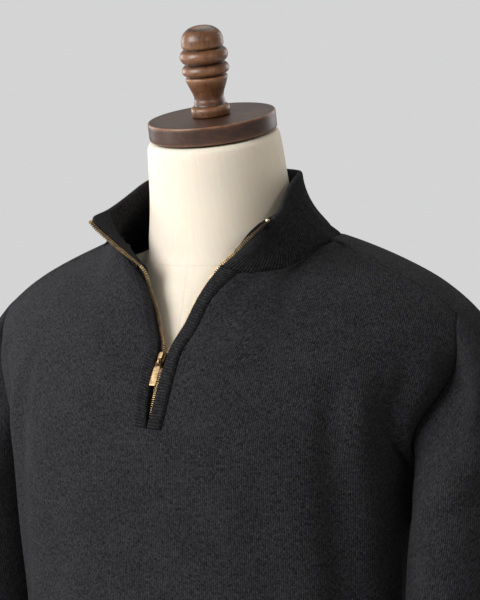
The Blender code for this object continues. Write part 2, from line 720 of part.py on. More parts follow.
def sew(bm, name):
    """Adds the surface of one knitted piece, faces out."""
    if name == "sweater_front":
        add_grid(bm, front_halves[1])
        add_grid(bm, mirrored(front_halves[-1]), flip=True)
    elif name == "sweater_back":
        add_grid(bm, back_half, flip=True)
        add_grid(bm, mirrored(back_half))
    elif name == "collar":
        add_grid(bm, collar_parts[1])
        add_grid(bm, mirrored(collar_parts[-1]), flip=True)
    elif name == "hem_rib_front":
        add_grid(bm, np.concatenate([hem[:, -HEM_SIDE:], hem[:, :HEM_SIDE + 1]], 1), flip=True)
    elif name == "hem_rib_back":
        add_grid(bm, hem[:, HEM_SIDE:-HEM_SIDE + 1], flip=True)
    else:
        left = name.endswith("left")
        shape = (lambda g: g) if left else mirrored
        if name.startswith("sleeve"):
            add_grid(bm, shape(sleeve_part), close=True, flip=left)
            add_grid(bm, shape(strap), flip=not left)
        else:
            add_grid(bm, shape(cuff), close=True, flip=left)


# wall, material, how far the piece stops short of its seams, and its group
PIECES = {
    "sweater_front": (CLOTH, KNIT, SEAM_WIDE, "body"),
    "sweater_back": (CLOTH, KNIT, SEAM, "body"),
    "collar": (COLLAR, RIBBED, 1.5 * SEAM_WIDE, "body"),
    "hem_rib_front": (RIB, RIBBED, SEAM, "body"),
    "hem_rib_back": (RIB, RIBBED, SEAM, "body"),
    "sleeve_left": (CLOTH, KNIT, SEAM_WIDE, "arms"),
    "sleeve_right": (CLOTH, KNIT, SEAM_WIDE, "arms"),
    "cuff_left": (RIB, RIBBED, SEAM, "arms"),
    "cuff_right": (RIB, RIBBED, SEAM, "arms"),
}
DIRECTIONS = {g: directions([n for n in PIECES if g in ("whole", PIECES[n][3])])
              for g in ("whole", "body", "arms")}

for name, (thickness, mat, seam, group) in PIECES.items():
    bm = bmesh.new()
    sew(bm, name)
    knit(name, bm, thickness, mat, seam, group=group)
for hand in (1, -1):
    side_name = "left" if hand > 0 else "right"
    front = front_halves[hand] * np.array([hand, 1, 1])
    neck = collar_parts[hand] * np.array([hand, 1, 1])
    # ribbed band on the front beside the zip, short of the collar seam
    near = front[slit:, :3]
    face = facing(near)
    near = near + face * (CLEAR + PLACKET_THICK)
    near[-1] = near[-2] + (near[-1] - near[-2]) * 0.80 + face[-1] * 0.0007
    bm = bmesh.new()
    add_grid(bm, near, flip=hand < 0)
    knit("placket_" + side_name, bm, PLACKET_THICK, RIBBED, way=face.reshape(-1, 3))

    # zip tape behind the edge, from the bottom of the slit to the collar's tip
    edge = np.concatenate([front[slit:, :2], neck[1:, :2]])
    face = facing(edge)
    way = edge[:, 0] - edge[:, 1]
    way /= np.linalg.norm(way, axis=1, keepdims=True)
    reach = np.minimum(ZIP_TAPE_OUT, np.abs(edge[:, 0, 0]) - 0.0008)[:, None]
    face = face[:, [0, 0, 0]]
    # narrower and a little deeper where the collar bends away from it
    dip = np.exp(-(((np.arange(len(edge)) - (len(front) - 1 - slit)) / 2.0) ** 2))[:, None]
    inner = edge[:, 0] + (edge[:, 1] - edge[:, 0]) * (1 - 0.9 * dip)
    strip = np.stack([edge[:, 0] + way * reach, edge[:, 0] + way * np.minimum(reach - 0.001, 0), inner], 1)
    strip = strip - face * (COLLAR + CLEAR + 0.0020 * dip[:, None])
    strip[-1] = strip[-2] + (strip[-1] - strip[-2]) * 0.9
    bm = bmesh.new()
    add_grid(bm, strip, flip=hand < 0)
    knit("zip_tape_" + side_name, bm, TAPE, BLACK, seam=0, way=face.reshape(-1, 3))

    # facing over the tape, inside the collar and a little way down the front
    rows = [g[:7] for g in front[STRIP_START:-1]] + list(neck)
    strip, face = [], []
    for row, way, wide, reach in zip(rows, [facing(r) for r in rows], STRIP["wide"], STRIP["out"]):
        run = length_share(row) * np.linalg.norm(np.diff(row, axis=0), axis=1).sum()
        at = np.linspace(0, wide, 6)
        row = np.stack([np.interp(at, run, row[:, i]) for i in range(3)], 1)
        row[0] += (row[0] - row[1]) / np.linalg.norm(row[0] - row[1]) * reach
        strip.append(row)
        face.append(np.stack([np.interp(at, run, way[:, i]) for i in range(3)], 1))
    strip, face = np.array(strip), np.array(face)
    dip = np.exp(-((STRIP["row"] / 2.0) ** 2))[:, None, None]
    strip = strip - face * (COLLAR + TAPE + 3 * CLEAR + 0.0038 * dip)
    strip[-1] += (strip[-2] - strip[-1]) * 0.04
    bm = bmesh.new()
    add_grid(bm, strip, flip=hand < 0)
    knit("facing_" + side_name, bm, FACING, RIBBED, seam=0, way=face.reshape(-1, 3))

# slider and pull tab, in a frame that lies along the zip: x across, y up
# along the zip and z out from the chest
low, high = wall(0, Z_SLIDER - 0.012, -1), wall(0, Z_SLIDER + 0.002, -1)
along = Vector(high - low).normalized()
out = Vector((1, 0, 0)).cross(along)
at = Vector((low + high) / 2) + along * 0.005
slider_frame = Matrix.Translation(at) @ Matrix(((1, along.x, out.x), (0, along.y, out.y), (0, along.z, out.z))).to_4x4()
AXIS_UP, AXIS_OUT = -0.0040, 0.0040
cells("zip_slider", ((-0.0041, -0.0011, 0.0011, 0.0041), (-0.0072, -0.0064, -0.0004, 0.0072), (-0.0016, 0.0024, 0.0054)),
      {(i, j, 0) for i in range(3) for j in range(3)} | {(1, 1, 1)}, slider_frame, BRASS, 0.0003)
pull_frame = slider_frame @ Matrix.Translation((0, AXIS_UP, AXIS_OUT))
cells("zip_pull", ((-0.0031, -0.0025, -0.0014, 0.0014, 0.0025, 0.0031), (-0.0240, -0.0062, -0.0045, 0.0012), (-0.0006, 0.0006)),
      {(i, 0, 0) for i in range(5)} | {(i, 1, 0) for i in (1, 2, 3)} | {(1, 2, 0), (3, 2, 0)}, pull_frame, BRASS, 0.0002)

# the dress form
STEPS = 40
heights = FORM["z"]
bm = bmesh.new()
rings = add_grid(bm, np.array([form_ring(z, STEPS) for z in heights]), close=True)
bm.faces.new(reversed(rings[0]))
bm.faces.new(rings[-1])
bmesh.ops.recalc_face_normals(bm, faces=bm.faces)
make("form_torso", bm, LINEN)

tilt = math.radians(CAP_TILT)
up = Vector((0, -math.sin(tilt), math.cos(tilt)))
cap_profile = table("radius height", [
    (0.0000, -0.0175), (0.0588, -0.0175), (0.0606, -0.0163), (0.0608, -0.0135),
    (0.0608, -0.0030), (0.0600, -0.0008), (0.0585, 0.0000), (0.0000, 0.0000)])
make("neck_cap", turned(zip(cap_profile["radius"], cap_profile["height"]), 40, tilt, CAP_CENTRE), WALNUT)

finial_profile = table("radius height", [
    (0.0000, 0.0000), (0.0172, 0.0000), (0.0185, 0.0025), (0.0185, 0.0075), (0.0150, 0.0105),
    (0.0144, 0.0145), (0.0138, 0.0170), (0.0150, 0.0220), (0.0180, 0.0300), (0.0198, 0.0355),
    (0.0178, 0.0385), (0.0212, 0.0405), (0.0224, 0.0437), (0.0214, 0.0470), (0.0182, 0.0500),
    (0.0214, 0.0530), (0.0229, 0.0572), (0.0215, 0.0612), (0.0182, 0.0638), (0.0198, 0.0672),
    (0.0198, 0.0715), (0.0180, 0.0770), (0.0135, 0.0817), (0.0070, 0.0845), (0.0000, 0.0853)])
make("finial", turned(zip(finial_profile["radius"], finial_profile["height"]), 24, tilt,
                      Vector(CAP_CENTRE) + up * CLEAR), WALNUT)

make("stand_pole", turned([(0, BASE_HEIGHT + CLEAR), (POLE_RADIUS, BASE_HEIGHT + CLEAR),
                           (POLE_RADIUS, heights[0] - CLEAR), (0, heights[0] - CLEAR)], 24), WALNUT)
base_profile = table("radius height", [
    (0.000, 0.0000), (0.176, 0.0000), (0.178, 0.0020), (0.178, 0.0170), (0.175, 0.0215),
    (0.168, 0.0242), (0.155, 0.0254), (0.060, 0.0260), (0.000, 0.0260)])
make("stand_base", turned(zip(base_profile["radius"], base_profile["height"]), 48), WALNUT)
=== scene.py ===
"""The quarter zip sweater on its dress form, as it looks: every piece drawn
over the solid it stands for, in the same frame, metres, +Z up.

The first half gives the same walls and sections as the solids have. The
second half draws knit, ribs, folds, teeth and turned wood on them.
"""
import math
import bmesh
import bpy
import numpy as np
from mathutils import Matrix, Vector


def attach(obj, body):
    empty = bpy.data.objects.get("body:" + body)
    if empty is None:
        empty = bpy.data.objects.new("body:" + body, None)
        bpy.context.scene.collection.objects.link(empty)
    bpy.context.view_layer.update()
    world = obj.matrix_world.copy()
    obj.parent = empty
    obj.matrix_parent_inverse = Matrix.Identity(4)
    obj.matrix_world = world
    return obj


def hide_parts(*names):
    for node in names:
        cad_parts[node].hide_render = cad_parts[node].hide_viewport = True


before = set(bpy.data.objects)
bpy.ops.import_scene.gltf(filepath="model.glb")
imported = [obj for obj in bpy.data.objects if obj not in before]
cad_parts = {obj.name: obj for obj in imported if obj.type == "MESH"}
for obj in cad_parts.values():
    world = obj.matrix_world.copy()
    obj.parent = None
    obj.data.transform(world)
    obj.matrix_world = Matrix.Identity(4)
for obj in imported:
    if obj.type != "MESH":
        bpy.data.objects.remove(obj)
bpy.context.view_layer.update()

# ------------------------------------------------------------------ sizes --
CLOTH = 0.0020          # knit wall of front, back and sleeves
RIB = 0.0024            # ribbed wall of hem and cuffs
COLLAR = 0.0030         # doubled ribbed wall of the collar
FACING = 0.0012         # knit strip that covers the zip tape inside the collar
TAPE = 0.0010           # woven zip tape
SEAM = 0.0002           # each piece stops this far short of its seam line
SEAM_WIDE = 0.0004      # and this far where seams bend sharply
Z_HEM = 0.220           # lowest edge of the hem rib
Z_RIB = 0.284           # seam of hem rib and body
Z_ARM = 0.700           # underarm
Z_ZIP = 0.7362          # bottom end of the zip slit
Z_VEE = 0.8800          # where the collar seam meets the zip
Z_SLIDER = 0.7963       # middle of the zip slider
ARCH = 1.8              # roundness of the shoulder from front to back
NECK_X = {-1: 0.118, 1: 0.104}  # where the straps' front and back seams end
SHOULDER_X = 0.2400     # where the straps end and the armholes begin
PLACKET = 0.0145        # width of the ribbed band beside the zip
PLACKET_THICK = 0.0015
ZIP_TAPE_IN = 0.0070    # tape under the cloth
ZIP_TAPE_OUT = 0.0044   # tape showing beyond its edge
CLEAR = 0.0003          # gap between a piece and what lies on it
Z_CUFF = 0.2320         # lowest edge of the cuffs
CUFF = 0.0650           # height of the cuffs

COLS_NECK = 6           # wall columns along half of the front neckline
COLS_STRAP = 6          # and along one strap seam
COLS_NAPE = 5           # and along half of the back neckline
ROWS_LOW = 7            # wall rows from the hem rib to the underarm
ROWS_ZIP = 3            # from the underarm to the bottom of the zip
ROWS_HIGH = 8           # and from there to the shoulder
STRAP_COLS = 4
COLLAR_ROWS = 5
SLEEVE_CAP_ROWS = 5
SLEEVE_ROWS = 8

BASE_RADIUS = 0.178
BASE_HEIGHT = 0.026
POLE_RADIUS = 0.016
CAP_CENTRE = (0.0, -0.031, 1.0208)   # middle of the cap's upper face
CAP_TILT = 15.2                     # degrees that the neck's top leans forward


def table(columns, rows):
    """Rows under named columns, as {column: array}."""
    names = columns.split()
    grid = np.array(rows, float)
    return {n: grid[:, i] for i, n in enumerate(names)}


# the sweater's outside, a section at each height: half width, how far the
# front and the back stand from the side seam line, where that line is in y,
# and how square the section is
BODY = table("z half front back middle square", [
    (0.220, 0.180, 0.120, 0.113, -0.012, 2.35),
    (0.250, 0.181, 0.121, 0.114, -0.012, 2.35),
    (0.284, 0.184, 0.126, 0.117, -0.012, 2.35),
    (0.312, 0.191, 0.134, 0.122, -0.012, 2.35),
    (0.420, 0.187, 0.134, 0.118, -0.012, 2.35),
    (0.550, 0.189, 0.139, 0.115, -0.012, 2.35),
    (0.620, 0.195, 0.143, 0.115, -0.012, 2.35),
    (0.700, 0.2015, 0.148, 0.117, -0.012, 2.35),
    (0.750, 0.2225, 0.151, 0.115, -0.006, 2.20),
    (0.800, 0.2500, 0.158, 0.107, 0.006, 2.10),
    (0.840, 0.2640, 0.165, 0.099, 0.016, 2.10),
    (0.880, 0.2750, 0.168, 0.094, 0.021, 2.10),
    (0.940, 0.2850, 0.168, 0.090, 0.021, 2.10),
])
# height at which front and back walls would close over the shoulder. Inside
# the neckline the walls are cut away before they close.
RIDGE = table("x front back", [
    (0.000, 0.8968, 0.9850),
    (0.020, 0.9080, 0.9830),
    (0.050, 0.9240, 0.9680),
    (0.080, 0.9270, 0.9400),
    (0.106, 0.9115, 0.9115),
    (0.125, 0.9055, 0.9055),
    (0.150, 0.8968, 0.8968),
    (0.180, 0.8844, 0.8844),
    (0.210, 0.8700, 0.8700),
    (0.240, 0.8537, 0.8537),
    (0.260, 0.8410, 0.8410),
    (0.290, 0.8200, 0.8200),
])
# how far the saddle strap's seams lie in front of and behind the ridge
STRAP = table("x front back", [
    (0.106, 0.0330, 0.0120),
    (0.180, 0.0330, 0.0120),
    (0.240, 0.0270, 0.0120),
])
# half width of the armhole's edge from the underarm, part 0, to the strap
ARMHOLE = table("part front back", [
    (0.00, 0.2015, 0.2015),
    (0.10, 0.2045, 0.2020),
    (0.20, 0.2090, 0.2035),
    (0.31, 0.2155, 0.2070),
    (0.46, 0.2275, 0.2130),
    (0.60, 0.2385, 0.2220),
    (0.75, 0.2435, 0.2320),
    (1.00, 0.2400, 0.2400),
])
# the opening along the zip: half width, and how far the cloth beside it is
# held out by the open collar
VEE = table("z half lift", [
    (0.7000, 0.0000, 0.0000),
    (0.7392, 0.0000, 0.0000),
    (0.7450, 0.0014, 0.0000),
    (0.7700, 0.0034, 0.0000),
    (0.7950, 0.0048, 0.0000),
    (0.8100, 0.0068, 0.0006),
    (0.8274, 0.0148, 0.0036),
    (0.8504, 0.0241, 0.0143),
    (0.8714, 0.0375, 0.0258),
    (0.8800, 0.0450, 0.0310),
    (0.9000, 0.0630, 0.0350),
    (0.9400, 0.0730, 0.0350),
])
LIFT_REACH = 0.045
# neckline from the zip to the strap: on the wearer's left it hangs lower, on
# the right the collar has drawn it up
NECK_FRONT = table("part xleft zleft xright zright", [
    (0.00, 0.0450, 0.8800, 0.0450, 0.8800),
    (0.25, 0.0640, 0.8755, 0.0585, 0.8905),
    (0.50, 0.0830, 0.8755, 0.0745, 0.9000),
    (0.75, 0.1020, 0.8840, 0.0950, 0.9035),
    (1.00, 0.1180, 0.8990, 0.1180, 0.8990),
])
# and from the strap to the middle back
NECK_BACK = table("part x z", [
    (0.0, 0.1040, 0.9105),
    (0.3, 0.0870, 0.9200),
    (0.6, 0.0540, 0.9262),
    (1.0, 0.0000, 0.9280),
])
# upper rim of the collar, by the share of its length from zip to middle back,
# and how hollow the collar is below it
RIM = table("part x y z bow", [
    (0.00, 0.0975, -0.0960, 0.9210, 0.10),
    (0.20, 0.0920, -0.0680, 0.9320, 0.25),
    (0.40, 0.0835, -0.0360, 0.9500, 0.70),
    (0.60, 0.0765, 0.0020, 0.9650, 1.00),
    (0.80, 0.0500, 0.0500, 0.9710, 0.80),
    (1.00, 0.0000, 0.0660, 0.9735, 0.60),
])
# the facing inside the collar, from its end on the front up to the rim: its
# width, and how far it shows beyond the edge it covers
STRIP = table("row wide out", [
    (-3, 0.008, 0.0046),
    (-2, 0.009, 0.0054),
    (-1, 0.014, 0.0064),
    (0, 0.025, 0.0068),
    (1, 0.027, 0.0056),
    (2, 0.027, 0.0046),
    (3, 0.027, 0.0040),
    (4, 0.027, 0.0036),
    (5, 0.027, 0.0032),
])
# the left sleeve below its cap: centre and half sizes of each section
SLEEVE = table("z x y wide deep", [
    (0.232, 0.2310, -0.032, 0.0325, 0.0410),
    (0.262, 0.2310, -0.031, 0.0330, 0.0420),
    (0.297, 0.2330, -0.030, 0.0350, 0.0440),
    (0.325, 0.2390, -0.028, 0.0410, 0.0500),
    (0.430, 0.2400, -0.022, 0.0430, 0.0560),
    (0.540, 0.2420, -0.018, 0.0440, 0.0630),
    (0.620, 0.2465, -0.016, 0.0450, 0.0680),
    (0.665, 0.2500, -0.013, 0.0455, 0.0690),
])
# the dress form, a section at each height: its shoulders are one oval, and
# its neck another that stands through it
FORM = table("z half front back middle neck nfront nback nmiddle", [
    (0.200, 0.146, 0.094, 0.088, -0.012, 0.020, 0.020, 0.020, -0.012),
    (0.206, 0.156, 0.101, 0.095, -0.012, 0.020, 0.020, 0.020, -0.012),
    (0.224, 0.161, 0.105, 0.098, -0.012, 0.020, 0.020, 0.020, -0.012),
    (0.300, 0.164, 0.111, 0.100, -0.012, 0.020, 0.020, 0.020, -0.012),
    (0.430, 0.158, 0.114, 0.094, -0.012, 0.020, 0.020, 0.020, -0.012),
    (0.560, 0.168, 0.123, 0.098, -0.012, 0.020, 0.020, 0.020, -0.012),
    (0.680, 0.186, 0.136, 0.101, -0.012, 0.020, 0.020, 0.020, -0.012),
    (0.740, 0.193, 0.134, 0.098, -0.007, 0.040, 0.080, 0.060, 0.000),
    (0.780, 0.200, 0.119, 0.090, 0.000, 0.070, 0.105, 0.070, 0.004),
    (0.810, 0.204, 0.100, 0.081, 0.008, 0.082, 0.101, 0.072, 0.006),
    (0.835, 0.205, 0.081, 0.069, 0.013, 0.082, 0.095, 0.070, 0.006),
    (0.852, 0.202, 0.067, 0.057, 0.016, 0.081, 0.091, 0.067, 0.006),
    (0.864, 0.193, 0.057, 0.047, 0.017, 0.080, 0.087, 0.065, 0.0055),
    (0.876, 0.164, 0.048, 0.038, 0.018, 0.078, 0.084, 0.063, 0.005),
    (0.888, 0.106, 0.038, 0.031, 0.018, 0.076, 0.080, 0.061, 0.004),
    (0.900, 0.0800, 0.031, 0.025, 0.016, 0.0745, 0.077, 0.060, 0.001),
    (0.912, 0.0732, 0.027, 0.022, 0.011, 0.0725, 0.0745, 0.060, -0.002),
    (0.930, 0.0700, 0.024, 0.020, 0.002, 0.0695, 0.0710, 0.060, -0.007),
    (0.957, 0.0665, 0.020, 0.020, -0.008, 0.0662, 0.0665, 0.060, -0.0147),
    (0.985, 0.0643, 0.020, 0.020, -0.019, 0.0640, 0.0638, 0.060, -0.0220),
    (0.9975, 0.0628, 0.020, 0.020, -0.0254, 0.0626, 0.0624, 0.060, -0.0254),
    (1.0020, 0.0600, 0.020, 0.020, -0.0262, 0.0598, 0.0600, 0.058, -0.0262),
])


# ------------------------------------------------------------- small maths --
def smooth(x, y, t):
    """Cubic through the points (x, y) that doesn't overshoot, read at t."""
    x, y, t = np.asarray(x, float), np.asarray(y, float), np.asarray(t, float)
    h = np.diff(x)
    d = np.diff(y) / h
    m = np.zeros(len(x))
    m[0], m[-1] = d[0], d[-1]
    for i in range(1, len(x) - 1):
        if d[i - 1] * d[i] > 0:
            w1, w2 = 2 * h[i] + h[i - 1], h[i] + 2 * h[i - 1]
            m[i] = (w1 + w2) / (w1 / d[i - 1] + w2 / d[i])
    i = np.clip(np.searchsorted(x, t, side="right") - 1, 0, len(x) - 2)
    s = np.clip((t - x[i]) / h[i], 0, 1)
    return ((1 + 2 * s) * (1 - s) ** 2 * y[i] + s * (1 - s) ** 2 * h[i] * m[i]
            + s * s * (3 - 2 * s) * y[i + 1] + s * s * (s - 1) * h[i] * m[i + 1])


def spline(x, y, t):
    """Natural cubic spline through the points (x, y), read at t."""
    x, y, t = np.asarray(x, float), np.asarray(y, float), np.asarray(t, float)
    n, h = len(x), np.diff(x)
    a, r = np.eye(n), np.zeros(n)
    for i in range(1, n - 1):
        a[i, i - 1:i + 2] = h[i - 1], 2 * (h[i - 1] + h[i]), h[i]
        r[i] = 6 * ((y[i + 1] - y[i]) / h[i] - (y[i] - y[i - 1]) / h[i - 1])
    m = np.linalg.solve(a, r)
    i = np.clip(np.searchsorted(x, t, side="right") - 1, 0, n - 2)
    u, v = x[i + 1] - t, t - x[i]
    return (m[i] * u ** 3 + m[i + 1] * v ** 3) / (6 * h[i]) \
        + (y[i] / h[i] - m[i] * h[i] / 6) * u \
        + (y[i + 1] / h[i] - m[i + 1] * h[i] / 6) * v


def section(tab, z):
    """The row of a table of sections at height z."""
    return {c: smooth(tab["z"], tab[c], z) for c in tab if c != "z"}


def power(v, p):
    return np.sign(v) * np.abs(v) ** p


# ----------------------------------------------------- the sweater's walls --
def vee(z, column):
    return smooth(VEE["z"], VEE[column], z)


def depth(x, z, side):
    """How far the front (side -1) or back (side 1) wall stands from the
    section's middle at width x and height z."""
    row = section(BODY, z)
    x = np.abs(x)
    wide = np.clip(1 - (x / row["half"]) ** row["square"], 0, 1) ** (1 / row["square"])
    top = smooth(RIDGE["x"], RIDGE["front" if side < 0 else "back"], x)
    rise = np.clip((z - Z_ARM) / (top - Z_ARM), 0, 1)
    arch = (1 - rise ** ARCH) ** (1 / ARCH)
    out = row["front" if side < 0 else "back"] * wide * arch
    if side < 0:
        out = out + vee(z, "lift") * np.exp(-((x - vee(z, "half")) / LIFT_REACH) ** 2)
    return out


def wall(x, z, side):
    """A point of the front or back wall."""
    y = section(BODY, z)["middle"] + side * depth(x, z, side)
    return np.stack(np.broadcast_arrays(x, y, z), -1)


def ring_point(z, angle, side):
    """A point of a section below the underarm; angle 0 is the middle of the
    front or back and 90 the side seam."""
    row = section(BODY, z)
    angle = np.radians(angle)
    x = row["half"] * np.sin(angle) ** (2 / row["square"])
    d = row["front" if side < 0 else "back"] * np.cos(angle).clip(0) ** (2 / row["square"])
    return np.stack(np.broadcast_arrays(x, row["middle"] + side * d, z), -1)


def seam_height(x, side):
    """Height of the strap's seam at width x: where the wall stands as far
    from the ridge as the seam."""
    x = np.asarray(x, float)
    off = smooth(STRAP["x"], STRAP["front" if side < 0 else "back"], x)
    high = smooth(RIDGE["x"], RIDGE["back"], x)
    low = high - 0.05
    for _ in range(40):
        z = (low + high) / 2
        out = depth(x, z, side) > off
        low, high = np.where(out, z, low), np.where(out, high, z)
    return (low + high) / 2


def strap_end(share):
    """Width at which the strap meets the collar."""
    return NECK_X[-1] + (NECK_X[1] - NECK_X[-1]) * share


def strap_line(part):
    """Points across the strap from its front seam to its back seam, at this
    part of the way from the shoulder to the neck."""
    share = np.linspace(0, 1, STRAP_COLS + 1)
    return np.array([strap_row(SHOULDER_X + (strap_end(u) - SHOULDER_X) * part, u) for u in share])


def strap_row(x, share):
    """A point of the strap at width x: share 0 is on its front seam and 1 on
    its back seam, over the ridge between them."""
    share = np.asarray(share, float)
    top = float(smooth(RIDGE["x"], RIDGE["back"], x))
    z_f, z_b = float(seam_height(x, -1)), float(seam_height(x, 1))
    ends = [math.asin(((z - Z_ARM) / (top - Z_ARM)) ** (ARCH / 2)) for z in (z_f, z_b)]
    a = ends[0] + (math.pi - ends[1] - ends[0]) * share
    z = Z_ARM + (top - Z_ARM) * np.sin(a) ** (2 / ARCH)
    front = a <= math.pi / 2
    ridge_y = section(BODY, np.array(top))["middle"]
    y = np.where(front, section(BODY, z)["middle"] - depth(x, z, -1),
                 section(BODY, z)["middle"] + depth(x, z, 1))
    y = np.where(np.abs(a - math.pi / 2) < 1e-3, ridge_y, y)
    return np.stack(np.broadcast_arrays(x, y, z), -1)


def high_parts():
    """Shares of the way from the underarm to the neck or shoulder, with one
    row at the bottom end of the zip."""
    at_zip = (Z_ZIP - Z_ARM) / (Z_VEE - Z_ARM)
    return np.concatenate([np.linspace(0, at_zip, ROWS_ZIP + 1)[:-1],
                           np.linspace(at_zip, 1, ROWS_HIGH + 1)])


def panel_top(side, hand):
    """Width and height along the top edge of half a front or back: its
    neckline, then its strap seam out to the armhole."""
    front = side < 0
    neck = NECK_BACK
    if front:
        own = "left" if hand > 0 else "right"
        neck = {"part": NECK_FRONT["part"], "x": NECK_FRONT["x" + own], "z": NECK_FRONT["z" + own]}
        first = np.array([0, 0.22, 0.45])
        t = np.concatenate([first / 1.9, np.linspace(first[-1] / 1.9, 1, COLS_NECK - 1)[1:]])
    else:
        t = np.linspace(1, 0, COLS_NAPE + 1)
    nx = smooth(neck["part"], neck["x"], t)
    nz = smooth(neck["part"], neck["z"], t)
    nx[-1], nz[-1] = NECK_X[side], seam_height(NECK_X[side], side)
    sx = NECK_X[side] + (SHOULDER_X - NECK_X[side]) * np.linspace(0, 1, COLS_STRAP + 1)[1:]
    return np.concatenate([nx, sx]), np.concatenate([nz, seam_height(sx, side)])


def column_angles(side):
    """The columns of half a panel, as angles on its low sections."""
    if side > 0:
        return np.linspace(0, 90, COLS_NAPE + COLS_STRAP + 1)
    near = (np.array([0.5, 1]) * PLACKET / BODY["half"][6]) ** (BODY["square"][6] / 2)
    near = np.degrees(np.arcsin(near))
    return np.concatenate([[0], near, np.linspace(near[-1], 90, COLS_NECK + COLS_STRAP - 1)[1:]])


def half_panel(side, hand=1):
    """Points of the wearer's left half of the front or back, or of the right
    half in a mirror: rows from the hem rib up, columns from the middle or the
    zip out to the side. The first columns beside the zip lie one half and one
    whole placket away."""
    front = side < 0
    tx, tz = panel_top(side, hand)
    angle = column_angles(side)
    rows = [ring_point(z, angle, side)
            for z in np.linspace(Z_RIB, Z_ARM, ROWS_LOW + 1)]
    for part in high_parts()[1:]:
        z = Z_ARM + (tz - Z_ARM) * part
        left = float(vee(z[0], "half")) if front else 0.0
        right = float(smooth(ARMHOLE["part"], ARMHOLE["front" if front else "back"], part))
        ring = ring_point(Z_ARM, angle, side)[:, 0]
        low, high = ring / ring[-1], (tx - tx[0]) / (tx[-1] - tx[0])
        x = left + (right - left) * (low + (high - low) * part)
        if front:
            # the slope of the zip's edge widens the placket along the row
            lean = (vee(z[0] + 0.002, "half") - vee(z[0] - 0.002, "half")) / 0.004
            wide = PLACKET * math.sqrt(1 + float(lean) ** 2) * (1 - 0.25 * part * part)
            keep = x.copy()
            x[1], x[2] = left + 0.5 * wide, left + wide
            x[3:] = x[2] + (keep[3:] - keep[2]) * (right - x[2]) / (right - keep[2])
        if part == 1:
            x = tx
        rows.append(wall(x, z, side))
    return np.array(rows)


def neckline(left_half_front, left_half_back):
    """Points of half the collar seam from the zip to the middle back, shared
    by the front, the strap's end and the back."""
    front = left_half_front[-1][:COLS_NECK + 1]
    strap = strap_line(1)[1:-1]
    back = left_half_back[-1][:COLS_NAPE + 1][::-1]
    return np.concatenate([front, strap, back])


def length_share(points):
    step = np.linalg.norm(np.diff(points, axis=0), axis=1)
    run = np.concatenate([[0], np.cumsum(step)])
    return run / run[-1]


def collar_half(base):
    """Rows of half the collar from its seam up to its rim; the columns follow
    the seam from the zip to the middle back."""
    t = length_share(base)
    double = {c: np.concatenate([RIM[c], RIM[c][-2::-1] * (-1 if c == "x" else 1)]) for c in ("x", "y", "z")}
    part = np.concatenate([RIM["part"], 2 - RIM["part"][-2::-1]])
    rim = np.stack([spline(part, double[c], t) for c in ("x", "y", "z")], 1)
    bow = smooth(RIM["part"], RIM["bow"], t)[:, None]
    mid = base + (rim - base) * np.concatenate([0.5 + 0.5 * bow, 0.5 + 0.5 * bow, 0.5 - 0.1 * bow], 1)
    rows = []
    for h in np.linspace(0, 1, COLLAR_ROWS + 1):
        rows.append((1 - h) ** 2 * base + 2 * h * (1 - h) * mid + h * h * rim)
    return np.array(rows)


def sleeve_ring(z, angle):
    """A point of the left sleeve's section; angle 0 is outside, 90 back, 180
    against the body and 270 front."""
    row = section(SLEEVE, z)
    angle = np.radians(angle)
    return np.stack(np.broadcast_arrays(row["x"] + row["wide"] * np.cos(angle),
                                        row["y"] + row["deep"] * np.sin(angle), z), -1)


def armhole_loop(left_half_front, left_half_back):
    """The left armhole from the underarm up the front, over the end of the
    strap and down the back."""
    front = left_half_front[ROWS_LOW:, -1]
    strap = strap_line(0)[1:-1]
    back = left_half_back[ROWS_LOW + 1:, -1][::-1]
    return np.concatenate([front, strap, back])


def sleeve_rows(loop):
    """Rows of the left sleeve from the armhole to the cuff seam."""
    t = length_share(np.concatenate([loop, loop[:1]]))[:-1]
    top = ROWS_ZIP + ROWS_HIGH + STRAP_COLS / 2     # the ridge's place in the loop
    at = np.interp(top, np.arange(len(loop)), t)
    turn = np.where(t < at, 180 + 180 * t / at, 360 + 180 * (t - at) / (1 - at))
    first_z = SLEEVE["z"][-1]
    first = sleeve_ring(first_z, turn)
    high = (1 + np.cos(np.radians(turn)))[:, None] / 2      # 1 on the ridge, 0 underarm
    fore = np.sin(np.radians(turn))[:, None]                # -1 in front, 1 behind
    out = (np.array([0.60, 0.0, -0.55]) * high + np.array([0.25, 0.0, -1.0]) * (1 - high)
           + np.array([0.35, 0.0, 0.40]) * np.abs(fore) * (1 - high)
           + np.array([0.0, 1.0, 0.0]) * fore * (1 - high))
    gap = np.linalg.norm(first - loop, axis=1)[:, None]
    start = out * gap * (0.9 + 0.3 * high)
    end = np.array([0.02, 0.0, -1.0]) * gap * 1.0
    rows = []
    for s in np.linspace(0, 1, SLEEVE_CAP_ROWS + 1):
        rows.append((1 + 2 * s) * (1 - s) ** 2 * loop + s * (1 - s) ** 2 * start
                    + s * s * (3 - 2 * s) * first + s * s * (s - 1) * end)
    for z in np.linspace(first_z, Z_CUFF + CUFF, SLEEVE_ROWS + 1)[1:]:
        rows.append(sleeve_ring(z, turn))
    return np.array(rows), turn


